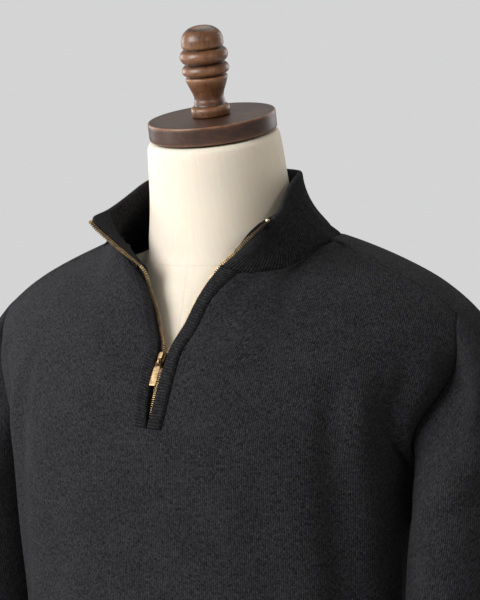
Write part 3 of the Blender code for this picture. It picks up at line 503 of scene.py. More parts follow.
def form_ring(z, steps):
    """A section of the dress form. The shoulders' oval and the neck's oval
    blend where they meet; near the top the section leans forward."""
    row = {c: float(v) for c, v in section(FORM, z).items()}
    a = np.arange(steps) * 2 * math.pi / steps
    x = row["half"] * np.sin(a)
    back = np.cos(a) < 0
    lens = np.abs(np.cos(a)) ** (2 / 2.15)
    d1 = np.where(back, row["back"], row["front"]) * lens
    inside = 1 - (x / row["neck"]) ** 2
    d2 = np.where(back, row["nback"], row["nfront"]) * np.sign(inside) * np.abs(inside) ** 0.5
    side = np.where(back, 1.0, -1.0)
    y1, y2 = side * row["middle"] + d1, side * row["nmiddle"] + d2
    k = 0.004 * np.clip(np.abs(np.cos(a)) * 3, 0, 1)
    y = side * ((y1 + y2) / 2 + np.sqrt(((y1 - y2) / 2) ** 2 + k * k))
    y = np.where(np.abs(np.cos(a)) < 1e-6, row["middle"], y)
    lean = math.tan(math.radians(CAP_TILT)) * float(smooth([0.88, 0.93, 0.9975, 1.0020], [0, 0.25, 1, 1], max(z, 0.88)))
    return np.stack([x, y, z + lean * (y - row["nmiddle"])], 1)


# --------------------------------------------------------- finer surfaces ---
def natural(knots, values, at):
    """Natural cubic spline of rows of values over knots, read at `at`."""
    n, h = len(knots), np.diff(knots)
    flat = values.reshape(n, -1)
    a, r = np.eye(n), np.zeros_like(flat)
    for i in range(1, n - 1):
        a[i, i - 1:i + 2] = h[i - 1], 2 * (h[i - 1] + h[i]), h[i]
        r[i] = 6 * ((flat[i + 1] - flat[i]) / h[i] - (flat[i] - flat[i - 1]) / h[i - 1])
    m = np.linalg.solve(a, r)
    i = np.clip(np.searchsorted(knots, at, side="right") - 1, 0, n - 2)
    u, v, hh = (knots[i + 1] - at)[:, None], (at - knots[i])[:, None], h[i][:, None]
    out = (m[i] * u ** 3 + m[i + 1] * v ** 3) / (6 * hh) \
        + (flat[i] / hh - m[i] * hh / 6) * u + (flat[i + 1] / hh - m[i + 1] * hh / 6) * v
    return out.reshape((len(at),) + values.shape[1:])


def finer(grid, parts, knots=None, loop=False):
    """The grid with each step between its rows cut into parts steps."""
    n = len(grid)
    if knots is None:
        step = np.linalg.norm(np.diff(grid, axis=0), axis=-1).reshape(n - 1, -1).mean(1)
        if loop:
            step = np.append(step, np.linalg.norm(grid[0] - grid[-1], axis=-1).mean())
        knots = np.concatenate([[0], np.cumsum(step)])
    steps = len(knots) - 1
    parts = [parts] * steps if isinstance(parts, int) else list(parts)
    at = np.concatenate([knots[i] + (knots[i + 1] - knots[i]) * np.arange(parts[i]) / parts[i]
                         for i in range(steps)] + ([] if loop else [knots[-1:]]))
    if not loop:
        return natural(knots, grid, at)
    k = 4
    total = knots[-1]
    wide = np.concatenate([grid[-k:], grid, grid[:k + 1]])
    wider = np.concatenate([knots[-1 - k:-1] - total, knots, knots[1:k + 1] + total])
    return natural(wider, wide, at)


def across(grid, parts, knots=None, loop=False):
    """The same between the columns."""
    return np.swapaxes(finer(np.swapaxes(grid, 0, 1), parts, knots, loop), 0, 1)


def runs(grid):
    """Distance along each row from its first point, and along each column."""
    du = np.linalg.norm(np.diff(grid, axis=1), axis=-1)
    dv = np.linalg.norm(np.diff(grid, axis=0), axis=-1)
    u = np.concatenate([np.zeros((len(grid), 1)), np.cumsum(du, 1)], 1)
    v = np.concatenate([np.zeros((1, grid.shape[1])), np.cumsum(dv, 0)], 0)
    return u, v


def nearest(points, line):
    """The nearest point of a line of points to each point."""
    a, b = line[:-1], line[1:]
    ab = b - a
    out = np.empty_like(points)
    for i, p in enumerate(points):
        t = np.clip(((p - a) * ab).sum(1) / np.maximum((ab * ab).sum(1), 1e-18), 0, 1)
        q = a + ab * t[:, None]
        out[i] = q[np.argmin(((q - p) ** 2).sum(1))]
    return out


def pull_to(grid, row, line, reach=6):
    """Moves a border row of the grid onto a line; the rows beside it follow
    less and less."""
    move = nearest(grid[row], line) - grid[row]
    for k in range(reach):
        i = row + k if row >= 0 and row < len(grid) / 2 else row - k
        grid[i] += move * (1 - k / reach) ** 2


# -------------------------------------------------------------- meshes ------
class Sheet:
    """A surface made of grids, faces out. Points keep a place on the knit, in
    metres across and along its wales."""

    def __init__(self):
        self.points, self.faces, self.places, self.lifts = [], [], [], []
        self.count = 0

    def add(self, grid, u, v, close=False, flip=False, lift=None):
        """u and v have one more column than a closed grid."""
        rows, cols = grid.shape[:2]
        index = np.arange(rows * cols).reshape(rows, cols) + self.count
        if close:
            index = np.concatenate([index, index[:, :1]], 1)
        a, b = index[:-1, :-1], index[1:, :-1]
        c, d = index[1:, 1:], index[:-1, 1:]
        place = np.stack([u, v], -1)
        pa, pb, pc, pd = place[:-1, :-1], place[1:, :-1], place[1:, 1:], place[:-1, 1:]
        order = (a, b, c, d) if flip else (a, d, c, b)
        spots = (pa, pb, pc, pd) if flip else (pa, pd, pc, pb)
        self.faces.append(np.stack(order, -1).reshape(-1, 4))
        self.places.append(np.stack(spots, -2).reshape(-1, 4, 2))
        self.points.append(grid.reshape(-1, 3))
        self.lifts.append(np.zeros(rows * cols) if lift is None else np.broadcast_to(lift, (rows, cols)).reshape(-1))
        self.count += rows * cols
        return self

    def weld(self):
        points = np.concatenate(self.points)
        faces, places = np.concatenate(self.faces), np.concatenate(self.places)
        lifts = np.concatenate(self.lifts)
        _, first, back = np.unique(np.round(points, 6), axis=0, return_index=True, return_inverse=True)
        back = back.reshape(-1)
        points, lifts, faces = points[first], lifts[first], back[faces]
        good = np.array([len(set(f)) == 4 for f in faces.tolist()])
        return points, faces[good], places[good], lifts


def corner_normals(points, faces):
    a, b, c, d = (points[faces[:, i]] for i in range(4))
    n = np.cross(c - a, d - b)
    out = np.zeros_like(points)
    for i in range(4):
        np.add.at(out, faces[:, i], n)
    return out / np.maximum(np.linalg.norm(out, axis=1, keepdims=True), 1e-12)


def border(faces):
    """Half edges that only one face has."""
    e = np.concatenate([faces[:, [i, (i + 1) % 4]] for i in range(4)])
    key = np.sort(e, axis=1)
    _, back, count = np.unique(key, axis=0, return_inverse=True, return_counts=True)
    where = np.concatenate([np.arange(len(faces))] * 4)
    only = count[back.reshape(-1)] == 1
    side = np.repeat(np.arange(4), len(faces))
    return e[only], where[only], side[only]


def to_object(name, points, faces, places, mat, extra=None):
    me = bpy.data.meshes.new(name)
    me.from_pydata(points.tolist(), [], [f for f in faces])
    uv = me.uv_layers.new(name="knit")
    uv.data.foreach_set("uv", np.asarray(places, np.float32).reshape(-1))
    for key, value in (extra or {}).items():
        me.attributes.new(key, "FLOAT", "POINT").data.foreach_set("value", np.asarray(value, np.float32))
    me.shade_smooth()
    me.materials.append(mat)
    me.update()
    o = bpy.data.objects.new(name, me)
    bpy.context.scene.collection.objects.link(o)
    return o


def cloth(name, sheet, thickness, mat, inner=None, rounds=3, sink=0.0):
    """A wall of cloth: the sheet outside, a second layer inside, and a round
    edge between them. lift is how far a rib stands out, on both layers."""
    points, faces, places, lifts = sheet.weld()
    normal = corner_normals(points, faces)
    half, where, side = border(faces)
    # directions away from the piece along its edge
    away = np.zeros_like(points)
    mid = points[faces].mean(1)[where]
    along = points[half[:, 1]] - points[half[:, 0]]
    along /= np.maximum(np.linalg.norm(along, axis=1, keepdims=True), 1e-12)
    face_normal = np.cross(points[faces[where, 2]] - points[faces[where, 0]],
                           points[faces[where, 3]] - points[faces[where, 1]])
    out = np.cross(along, face_normal)
    out /= np.maximum(np.linalg.norm(out, axis=1, keepdims=True), 1e-12)
    flip = ((mid - points[half[:, 0]]) * out).sum(1) > 0
    out[flip] *= -1
    for i in (0, 1):
        np.add.at(away, half[:, i], out)
    length = np.linalg.norm(away, axis=1, keepdims=True)
    away = np.where(length > 1e-9, away / np.maximum(length, 1e-9), 0)
    edge_points = np.unique(half)
    base = points.copy()
    base[edge_points] -= away[edge_points] * min(thickness / 2, 0.0012)
    top = base + normal * lifts[:, None]
    low = base - normal * (thickness + (0 if inner is None else 0) + lifts[:, None])
    n = len(points)
    ring_index = -np.ones(n, int)
    ring_index[edge_points] = np.arange(len(edge_points))
    layers = [top, low]
    t = (thickness / 2 + lifts)[edge_points, None]
    centre = base[edge_points] - normal[edge_points] * thickness / 2
    for k in range(rounds):
        a = math.pi * (k + 1) / (rounds + 1)
        layers.append(centre + normal[edge_points] * math.cos(a) * t + away[edge_points] * math.sin(a) * thickness / 2)
    all_points = np.concatenate(layers)
    m = len(edge_points)
    quads = [faces, faces[:, ::-1] + n]
    spots = [places, places[:, ::-1]]

    def loop_at(k, v):
        if k == 0:
            return v
        if k == rounds + 1:
            return v + n
        return 2 * n + (k - 1) * m + ring_index[v]

    start = places[where, side]
    end = places[where, (side + 1) % 4]
    for k in range(rounds + 1):
        a, b = half[:, 0], half[:, 1]
        quads.append(np.stack([loop_at(k, b), loop_at(k, a), loop_at(k + 1, a), loop_at(k + 1, b)], -1))
        spots.append(np.stack([end, start, start, end], 1))
    return to_object(name, all_points, np.concatenate(quads).tolist(), np.concatenate(spots), mat)


def solid(name, verts, faces, mat, places=None, extra=None, smooth=True, angle=40):
    me = bpy.data.meshes.new(name)
    me.from_pydata([list(map(float, v)) for v in verts], [], [list(map(int, f)) for f in faces])
    if places is not None:
        uv = me.uv_layers.new(name="knit")
        uv.data.foreach_set("uv", np.asarray(places, np.float32).reshape(-1))
    for key, value in (extra or {}).items():
        me.attributes.new(key, "FLOAT", "POINT").data.foreach_set("value", np.asarray(value, np.float32))
    if smooth:
        me.shade_smooth()
        me.set_sharp_from_angle(angle=math.radians(angle))
    me.materials.append(mat)
    me.update()
    o = bpy.data.objects.new(name, me)
    bpy.context.scene.collection.objects.link(o)
    return o


# ------------------------------------------------------------ materials -----
class Finish:
    """Short hands for a node tree."""

    def __init__(self, name):
        self.mat = bpy.data.materials.new(name)
        self.mat.use_nodes = True
        self.tree = self.mat.node_tree
        self.skin = self.tree.nodes["Principled BSDF"]

    def set(self, **values):
        for key, value in values.items():
            self.skin.inputs[key.replace("_", " ")].default_value = value
        return self

    def node(self, kind, **props):
        n = self.tree.nodes.new("ShaderNode" + kind)
        for key, value in props.items():
            setattr(n, key, value)
        return n

    def put(self, value, socket):
        if isinstance(value, bpy.types.NodeSocket):
            self.tree.links.new(value, socket)
        else:
            socket.default_value = value

    def math(self, op, *values, clamp=False):
        n = self.node("Math", operation=op, use_clamp=clamp)
        for v, s in zip(values, n.inputs):
            self.put(v, s)
        return n.outputs[0]

    def add(self, a, b):
        return self.math("ADD", a, b)

    def mul(self, a, b):
        return self.math("MULTIPLY", a, b)

    def map(self, value, a, b, c=0.0, d=1.0):
        n = self.node("MapRange", clamp=True)
        self.put(value, n.inputs[0])
        for v, s in zip((a, b, c, d), n.inputs[1:5]):
            self.put(v, s)
        return n.outputs[0]

    def soft(self, value, a, b):
        n = self.node("MapRange", clamp=True, interpolation_type="SMOOTHSTEP")
        self.put(value, n.inputs[0])
        n.inputs[1].default_value, n.inputs[2].default_value = a, b
        return n.outputs[0]

    def vector(self, x, y, z=0.0):
        n = self.node("CombineXYZ")
        for v, s in zip((x, y, z), n.inputs):
            self.put(v, s)
        return n.outputs[0]

    def split(self, vector):
        n = self.node("SeparateXYZ")
        self.put(vector, n.inputs[0])
        return n.outputs

    def uv(self):
        return self.split(self.node("UVMap", uv_map="knit").outputs[0])

    def place(self):
        return self.node("TexCoord").outputs["Object"]

    def scaled(self, vector, x, y, z):
        n = self.node("VectorMath", operation="MULTIPLY")
        self.put(vector, n.inputs[0])
        n.inputs[1].default_value = (x, y, z)
        return n.outputs[0]

    def noise(self, vector, scale, detail=3.0, rough=0.5, distort=0.0):
        n = self.node("TexNoise")
        self.put(vector, n.inputs["Vector"])
        n.inputs["Scale"].default_value = scale
        n.inputs["Detail"].default_value = detail
        n.inputs["Roughness"].default_value = rough
        n.inputs["Distortion"].default_value = distort
        return n.outputs[0]

    def mix(self, share, a, b, mode="MIX"):
        n = self.node("Mix", data_type="RGBA", blend_type=mode)
        self.put(share, n.inputs[0])
        for v, s in zip((a, b), n.inputs[6:8]):
            self.put((*v, 1.0) if isinstance(v, tuple) and len(v) == 3 else v, s)
        return n.outputs[2]

    def grey(self, value):
        n = self.node("CombineColor")
        for s in n.inputs[:3]:
            self.put(value, s)
        return n.outputs[0]

    def colour(self, value):
        self.put(value, self.skin.inputs["Base Color"])

    def rough(self, value):
        self.put(value, self.skin.inputs["Roughness"])

    def bump(self, height, distance, strength=1.0, under=None):
        n = self.node("Bump")
        n.inputs["Strength"].default_value = strength
        n.inputs["Distance"].default_value = distance
        self.put(height, n.inputs["Height"])
        if under is not None:
            self.put(under, n.inputs["Normal"])
        self.tree.links.new(n.outputs[0], self.skin.inputs["Normal"])
        return n.outputs[0]


def knit_finish(name, wale, course, dark, light, ribbed=False, fleck=0.16):
    """Heathered knit: wales of V stitches along v, with painted shade darkening the furrows between them, mixed fibres,
    flecks and a fuzzy sheen."""
    f = Finish(name)
    u, v = f.uv()[:2]
    a = f.mul(u, 1 / wale)
    cell = f.math("FRACT", a)
    t = f.math("ABSOLUTE", f.math("SUBTRACT", f.mul(cell, 2.0), 1.0))     # 0 on the wale, 1 between
    s = f.math("FRACT", f.add(f.mul(v, 1 / course), f.mul(t, 0.55)))
    bow = f.math("SUBTRACT", 1.0, f.math("POWER", f.math("ABSOLUTE", f.math("SUBTRACT", f.mul(s, 2.0), 1.0)), 2.2))
    ridge = f.math("SUBTRACT", 1.0, f.math("POWER", t, 2.6))
    height = f.add(f.mul(ridge, 0.55), f.mul(f.mul(bow, ridge), 0.45))
    where = f.place()
    on_knit = f.vector(f.mul(u, 1.0), f.mul(v, 0.45), 0.0)
    fibre = f.noise(where, 1500.0, 2.0, 0.6)
    height = f.add(height, f.mul(fibre, 0.25))
    f.bump(height, 0.00050 if not ribbed else 0.0005, 0.8)
    heather = f.noise(on_knit, 900.0, 3.0, 0.7)
    yarn = f.noise(f.vector(f.mul(f.math("FLOOR", a), 3.7), f.mul(v, 260.0), 0.0), 1.0, 3.0, 0.6)
    broad = f.noise(where, 34.0, 3.0, 0.55)
    tone = f.map(f.add(f.add(f.mul(heather, 0.56), f.mul(yarn, 0.36)), f.mul(broad, 0.08)), 0.40, 0.61)
    colour = f.mix(tone, dark, light)
    spots = f.noise(on_knit, 950.0, 1.0, 0.5)
    colour = f.mix(f.mul(f.soft(spots, 0.66, 0.78), 0.75), colour, (fleck, fleck, fleck * 1.03))
    deep = f.noise(on_knit, 420.0, 2.0, 0.6)
    colour = f.mix(f.mul(f.soft(deep, 0.60, 0.74), 0.55), colour, (dark[0] * 0.45,) * 2 + (dark[2] * 0.45,))
    # painted shade: the furrows between wales are darkened in colour, much more on ribs
    shade = f.map(f.math("POWER", t, 3.0), 0.0, 1.0, 1.0, 0.42 if ribbed else 0.72)
    colour = f.mix(1.0, colour, f.grey(shade), "MULTIPLY")
    tint = f.mix(f.noise(on_knit, 330.0, 2.0, 0.6), (1.10, 1.0, 0.96), (0.92, 0.99, 1.10))
    colour = f.mix(1.0, colour, tint, "MULTIPLY")
    f.colour(colour)
    f.set(Roughness=0.95, Specular_IOR_Level=0.08, Sheen_Weight=0.04, Sheen_Roughness=0.4,
          Sheen_Tint=(0.62, 0.62, 0.64, 1.0))
    return f.mat


def tape_finish(name):
    f = Finish(name)
    u, v = f.uv()[:2]
    weft = f.math("FRACT", f.mul(f.add(v, f.mul(f.math("ABSOLUTE", f.math("SUBTRACT", f.math("FRACT", f.mul(u, 420.0)), 0.5)), 0.0016)), 1500.0))
    rib = f.math("ABSOLUTE", f.math("SUBTRACT", weft, 0.5))
    f.bump(f.add(rib, f.mul(f.noise(f.place(), 2600.0, 2.0), 0.4)), 0.0003, 0.8)
    f.colour(f.mix(f.noise(f.place(), 900.0, 3.0), (0.0055, 0.0055, 0.006), (0.016, 0.016, 0.017)))
    f.set(Roughness=0.8, Specular_IOR_Level=0.3, Sheen_Weight=0.15, Sheen_Roughness=0.5)
    return f.mat


def brass_finish(name, bright, dark, rough=0.30):
    f = Finish(name)
    where = f.place()
    stain = f.noise(where, 260.0, 4.0, 0.6)
    grain = f.noise(f.scaled(where, 1.0, 1.0, 6.0), 700.0, 3.0, 0.6)
    f.colour(f.mix(f.map(stain, 0.38, 0.66), bright, dark))
    f.rough(f.map(grain, 0.3, 0.7, rough - 0.06, rough + 0.16))
    f.bump(grain, 0.00006, 0.5)
    f.set(Metallic=1.0)
    return f.mat


def linen_finish(name):
    """Plain woven linen drawn over a form: uneven threads both ways, a little
    darker between them, with the seams of its panels."""
    f = Finish(name)
    u, v = f.uv()[:2]
    warp = f.math("ABSOLUTE", f.math("SUBTRACT", f.math("FRACT", f.mul(u, 1 / 0.0011)), 0.5))
    weft = f.math("ABSOLUTE", f.math("SUBTRACT", f.math("FRACT", f.mul(v, 1 / 0.0012)), 0.5))
    slub = f.noise(f.vector(f.mul(u, 900.0), f.mul(v, 14.0), 0.0), 1.0, 4.0, 0.65)
    slub2 = f.noise(f.vector(f.mul(u, 16.0), f.mul(v, 700.0), 0.0), 1.0, 4.0, 0.65)
    cloud = f.noise(f.place(), 9.0, 3.0, 0.5)
    height = f.add(f.add(f.mul(warp, 0.5), f.mul(weft, 0.5)), f.add(f.mul(slub, 0.9), f.mul(slub2, 0.6)))
    x, y, z = f.split(f.place())
    # seams: down the middle of the front, and round under the neck
    front = f.soft(y, -0.02, -0.04)
    low = f.soft(z, 0.883, 0.877)
    wave = f.mul(f.mul(x, x), 0.9)
    down = f.mul(f.mul(f.soft(f.math("ABSOLUTE", x), 0.0011, 0.0), low), 1.0)
    ring = f.soft(f.math("ABSOLUTE", f.math("SUBTRACT", f.math("SUBTRACT", z, 0.8795), wave)), 0.0011, 0.0)
    seam = f.math("MAXIMUM", down, ring)
    height = f.math("SUBTRACT", height, f.mul(seam, 1.4))
    f.bump(height, 0.00024, 0.4)
    colour = f.mix(f.map(slub, 0.30, 0.72), (0.82, 0.735, 0.60), (0.89, 0.82, 0.705))
    colour = f.mix(f.mul(f.map(slub2, 0.35, 0.70), 0.45), colour, (0.91, 0.845, 0.74))
    colour = f.mix(f.mul(f.map(cloud, 0.35, 0.70), 0.30), colour, (0.83, 0.74, 0.60))
    colour = f.mix(f.mul(seam, 0.16), colour, (0.50, 0.42, 0.32))
    f.colour(colour)
    f.set(Roughness=0.9, Specular_IOR_Level=0.15, Subsurface_Weight=0.30, Subsurface_Radius=(1.0, 0.5, 0.25),
          Subsurface_Scale=0.008)
    return f.mat


def walnut_finish(name, dark, light, worn, along, coat=0.25, rough=0.42):
    """Stained wood: long grain, pores, and lighter wood where edges are rubbed
    through the stain. `along` stretches the grain."""
    f = Finish(name)
    where = f.place()
    grain = f.noise(f.scaled(where, *along), 60.0, 6.0, 0.62, 1.2)
    pores = f.noise(f.scaled(where, *[a * 3.2 for a in along]), 240.0, 3.0, 0.7)
    blotch = f.noise(where, 42.0, 3.0, 0.6)
    tone = f.add(f.mul(f.map(grain, 0.34, 0.68), 0.7), f.mul(f.map(blotch, 0.35, 0.70), 0.45))
    colour = f.mix(tone, dark, light)
    colour = f.mix(f.mul(f.soft(pores, 0.57, 0.70), 0.65), colour, tuple(c * 0.35 for c in dark))
    rub = f.node("Attribute", attribute_name="rub").outputs["Fac"]
    patch = f.noise(where, 130.0, 4.0, 0.7)
    share = f.mul(rub, f.map(patch, 0.32, 0.62, 0.25, 1.0))
    colour = f.mix(share, colour, worn)
    groove = f.node("Attribute", attribute_name="groove").outputs["Fac"]
    colour = f.mix(f.mul(groove, f.map(patch, 0.25, 0.6, 0.7, 0.95)), colour, tuple(c * 0.30 for c in dark))
    f.colour(colour)
    f.rough(f.map(grain, 0.3, 0.7, rough - 0.08, rough + 0.12))
    f.bump(f.add(grain, f.mul(pores, -0.8)), 0.0003, 0.4)
    f.set(Coat_Weight=coat, Coat_Roughness=0.28)
    return f.mat


# ------------------------------------------------------- the coarse shapes --
def mirrored(grid):
    return grid * np.array([-1.0, 1.0, 1.0])


def turn_over(grid, hand):
    return grid if hand > 0 else mirrored(grid)


RIB_PITCH = 0.0032       # ribs keep this pitch on the knit's own map
front_halves = {hand: half_panel(-1, hand) for hand in (1, -1)}
back_half = half_panel(1)
collar_parts = {hand: collar_half(neckline(front_halves[hand], back_half)) for hand in (1, -1)}
armhole = armhole_loop(front_halves[1], back_half)
sleeve_part, sleeve_turn = sleeve_rows(armhole)
slit = ROWS_LOW + ROWS_ZIP
strap = np.array([strap_line(part) for part in np.linspace(0, 1, COLS_STRAP + 1)])

# ------------------------------------------------------------- finishes -----
KNIT = knit_finish("heathered_jersey", 0.0019, 0.0016, (0.0085, 0.0086, 0.0095), (0.047, 0.0475, 0.051), fleck=0.10)
RIBBED = knit_finish("heathered_rib", RIB_PITCH, 0.0017, (0.0075, 0.0076, 0.0084), (0.038, 0.0385, 0.041), ribbed=True, fleck=0.08)
BLACK = tape_finish("woven_tape")
BRASS = brass_finish("worn_brass", (0.60, 0.44, 0.25), (0.27, 0.18, 0.09), 0.42)
# a darker copy of the brass, painted shade: drawn on the slider's plates and flanges and round the pull's eye
SHADED_BRASS = brass_finish("brass_painted_shade", (0.17, 0.105, 0.052), (0.05, 0.030, 0.016), 0.40)
LINEN = linen_finish("drawn_linen")
WALNUT = walnut_finish("rubbed_walnut", (0.016, 0.0065, 0.0042), (0.085, 0.031, 0.015), (0.30, 0.135, 0.060), (1.0, 1.0, 7.0))
TURNED = walnut_finish("turned_walnut", (0.024, 0.008, 0.0035), (0.215, 0.083, 0.029), (0.42, 0.195, 0.080), (9.0, 9.0, 1.0), 0.35, 0.34)

# ----------------------------------------------------- front and back panels
ROW_PARTS = [13] * ROWS_LOW + [4] * ROWS_ZIP + [6] * ROWS_HIGH
SLIT = sum(ROW_PARTS[:slit])
ARM_ROW = sum(ROW_PARTS[:ROWS_LOW])
FRONT_PARTS = [4, 4] + [6] * (COLS_NECK + COLS_STRAP - 2)
BACK_PARTS = [8] * (COLS_NAPE + COLS_STRAP)


def column_knots(grid):
    step = np.linalg.norm(np.diff(grid[:, -1], axis=0), axis=1)
    return np.concatenate([[0], np.cumsum(step)])


def grid_normals(grid):
    du = np.gradient(grid, axis=1)
    dv = np.gradient(grid, axis=0)
    n = np.cross(du, dv)
    return n / np.maximum(np.linalg.norm(n, axis=-1, keepdims=True), 1e-12)


front_fine = {}
for hand in (1, -1):
    g = finer(front_halves[hand], ROW_PARTS, column_knots(front_halves[hand]))
    g = across(g, FRONT_PARTS)
    g[:SLIT + 1, 0, 0] = 0
    g[SLIT + 1:, 0, 0] = np.maximum(g[SLIT + 1:, 0, 0], 0.00005)
    front_fine[hand] = g
back_fine = across(finer(back_half, ROW_PARTS, column_knots(back_half)), BACK_PARTS)
back_fine[:, 0, 0] = 0
back_fine[:ARM_ROW + 1, -1] = front_fine[1][:ARM_ROW + 1, -1]
NECK_COL = sum(FRONT_PARTS[:COLS_NECK])
NAPE_COL = sum(BACK_PARTS[:COLS_NAPE])
# the right half follows the left one where the armholes and straps are alike
front_fine[-1][:, -1] = front_fine[1][:, -1]

# -------------------------------------------------- sleeves with their straps
SLEEVE_COL = 5
g = finer(sleeve_part, [9] * SLEEVE_CAP_ROWS + [11] * SLEEVE_ROWS)
sleeve_fine = across(g, SLEEVE_COL, loop=True)
hole = np.concatenate([front_fine[1][ARM_ROW:, -1],
                       back_fine[ARM_ROW:, -1][::-1]])
STRAP_0 = (ROWS_ZIP + ROWS_HIGH) * SLEEVE_COL
STRAP_N = STRAP_COLS * SLEEVE_COL
strap_fine = across(finer(strap, 5), SLEEVE_COL)
strap_fine[:, 0] = nearest(strap_fine[:, 0], front_fine[1][-1, NECK_COL:])
strap_fine[:, -1] = nearest(strap_fine[:, -1], back_fine[-1, NAPE_COL:])
strap_fine[0, 0], strap_fine[0, -1] = front_fine[1][-1, -1], back_fine[-1, -1]
keep = sleeve_fine[0].copy()
target = keep.copy()
low_front = list(range(0, STRAP_0 + 1))
low_back = list(range(STRAP_0 + STRAP_N, len(keep)))
target[low_front] = nearest(keep[low_front], front_fine[1][ARM_ROW:, -1])
target[low_back] = nearest(keep[low_back], back_fine[ARM_ROW:, -1])
target[0] = front_fine[1][ARM_ROW, -1]
target[STRAP_0:STRAP_0 + STRAP_N + 1] = strap_fine[0]
for k in range(8):
    sleeve_fine[k] += (target - keep) * (1 - k / 8) ** 2


# ---------------------------------------------------------------- the drape --
def bump_at(x, x0, w):
    return np.exp(-((x - x0) / w) ** 2)


def drape_body(p, side, hand):
    """How far soft folds move the body's cloth out, in metres: fulness that
    falls from the armholes, faint drags from the open zip, and a little
    blousing over the hem rib."""
    x, z = np.abs(p[..., 0]), p[..., 2]
    d = np.zeros(x.shape)
    k = 1.0 if hand > 0 else 0.8
    shift = 0.0 if hand > 0 else -0.004
    if side < 0:
        line = 0.181 + shift + 0.03 * (0.74 - z)                # the fold falls from the armhole
        fade = np.clip((0.80 - z) / 0.05, 0, 1) * np.clip((z - 0.36) / 0.24, 0, 1)
        d += k * 0.0050 * bump_at(x, line, 0.010) * fade
        d -= k * 0.0042 * bump_at(x, line - 0.021, 0.010) * fade
        d -= k * 0.0030 * bump_at(x, line + 0.017, 0.007) * fade
        line = 0.135 + shift + 0.10 * (0.74 - z)
        fade = np.clip((0.74 - z) / 0.10, 0, 1) * np.clip((z - 0.30) / 0.30, 0, 1)
        d += k * 0.0022 * bump_at(x, line, 0.020) * fade
        d -= k * 0.0020 * bump_at(x, line - 0.036, 0.018) * fade
        # drags from the chest to the armhole, and from the end of the zip
        t = (z - 0.775) - 0.50 * (x - 0.15)
        fade = bump_at(x, 0.165, 0.055)
        d -= k * 0.0016 * bump_at(t, 0.0, 0.010) * fade
        d += k * 0.0014 * bump_at(t, 0.020, 0.012) * fade
        t = (z - 0.715) + 0.35 * x
        d -= 0.0010 * bump_at(t, 0.0, 0.012) * bump_at(x, 0.06, 0.05)
    else:
        line = 0.165 + shift + 0.02 * (0.74 - z)
        fade = np.clip((0.80 - z) / 0.07, 0, 1) * np.clip((z - 0.34) / 0.26, 0, 1)
        d += k * 0.0042 * bump_at(x, line, 0.013) * fade
        d -= k * 0.0034 * bump_at(x, line - 0.025, 0.012) * fade
        line = 0.085 + shift + 0.06 * (0.74 - z)
        fade = np.clip((0.70 - z) / 0.12, 0, 1) * np.clip((z - 0.30) / 0.25, 0, 1)
        d += k * 0.0020 * bump_at(x, line, 0.022) * fade
        t = (z - 0.60) - 0.20 * x
        d += 0.0024 * bump_at(t, 0.0, 0.016) * bump_at(x, 0.05, 0.09) * (1 if hand > 0 else 0.9)
        t = (z - 0.545) + 0.16 * x
        d -= 0.0020 * bump_at(t, 0.0, 0.014) * bump_at(x, 0.07, 0.08)
    # above the hem rib
    rise = np.clip((z - Z_RIB) / 0.055, 0, 1)
    d += 0.0026 * np.sin(math.pi * rise) ** 1.5 * (1 + 0.35 * np.sin(x * 95.0 + 1.3 * hand + side))
    return d


def drape_sleeve(v, turn, hand):
    """The same for a sleeve: v runs down from the armhole, turn is 0 outside,
    90 behind, 180 against the body and 270 in front."""
    a = np.radians(turn)
    d = np.zeros(np.broadcast(v, a).shape)
    k = 1.0 if hand > 0 else 0.85
    for at, where, wide, tall, high, slope in (
            (0.085, 300, 60, 0.013, -0.0020, 0.020), (0.118, 285, 55, 0.016, 0.0022, 0.022),
            (0.150, 300, 50, 0.015, -0.0018, 0.018), (0.265, 40, 75, 0.020, 0.0016, -0.014),
            (0.300, 250, 70, 0.018, -0.0020, 0.016), (0.330, 262, 80, 0.018, 0.0022, 0.016),
            (0.395, 60, 90, 0.018, 0.0018, -0.012), (0.430, 300, 80, 0.014, -0.0018, 0.014),
            (0.462, 285, 110, 0.016, 0.0026, 0.012), (0.490, 90, 100, 0.014, 0.0020, -0.010)):
        away = (np.asarray(turn) - where + 180.0) % 360.0 - 180.0
        line = v - at - slope * np.sin(np.radians(away))
        d = d + k * high * np.exp(-(line / tall) ** 2) * np.exp(-(away / wide) ** 2)
    return d


def seam_trough(distance, deep=0.0007, wide=0.0024):
    return -deep * np.exp(-(distance / wide) ** 2)


def welt(distance, deep=0.0012, wide=0.0019, high=0.0006, off=0.0052):
    """A seam's trough with the soft roll of its allowance beside it."""
    return seam_trough(distance, deep, wide) + high * np.exp(-((distance - off) / wide) ** 2)


def armhole_fold(edge, z, hand):
    """The front's cloth folds in beside the armhole: a trough that nears the
    seam on its way down, with a soft roll between it and the seam."""
    away = np.interp(z, [0.700, 0.711, 0.740, 0.773, 0.800], [0.014, 0.018, 0.033, 0.046, 0.056])
    fade = np.clip((0.812 - z) / 0.035, 0, 1) * np.clip((z - 0.690) / 0.020, 0, 1)
    fade = fade * (1.0 if hand > 0 else 0.8)
    d = -0.0056 * np.exp(-((edge - away) / (0.24 * away)) ** 2) + 0.0044 * np.exp(-((edge - 0.50 * away) / (0.26 * away)) ** 2)
    return d * fade * (1 - np.exp(-(edge / 0.004) ** 2))


def settle(grid, move):
    return grid + grid_normals(grid) * move[..., None]


def away_from(u, column):
    return np.abs(u - u[:, column][:, None])


def meet(worn, column, reach=10, rows=None):
    """Brings the two halves of a piece together along their middle line."""
    rows = slice(None) if rows is None else rows
    mid = (worn[1][rows, column] + worn[-1][rows, column]) / 2
    mid[:, 0] = 0
    for grid in worn.values():
        move = mid - grid[rows, column]
        for k in range(reach):
            i = k if column == 0 else -1 - k
            grid[rows, i] += move * (1 - k / reach) ** 2
        grid[rows, column] = mid


pieces = {}


def piece(obj, node, body="sweater_on_form"):
    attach(obj, body)
    if node:
        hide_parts(*([node] if isinstance(node, str) else node))
    pieces[obj.name] = obj
    return obj


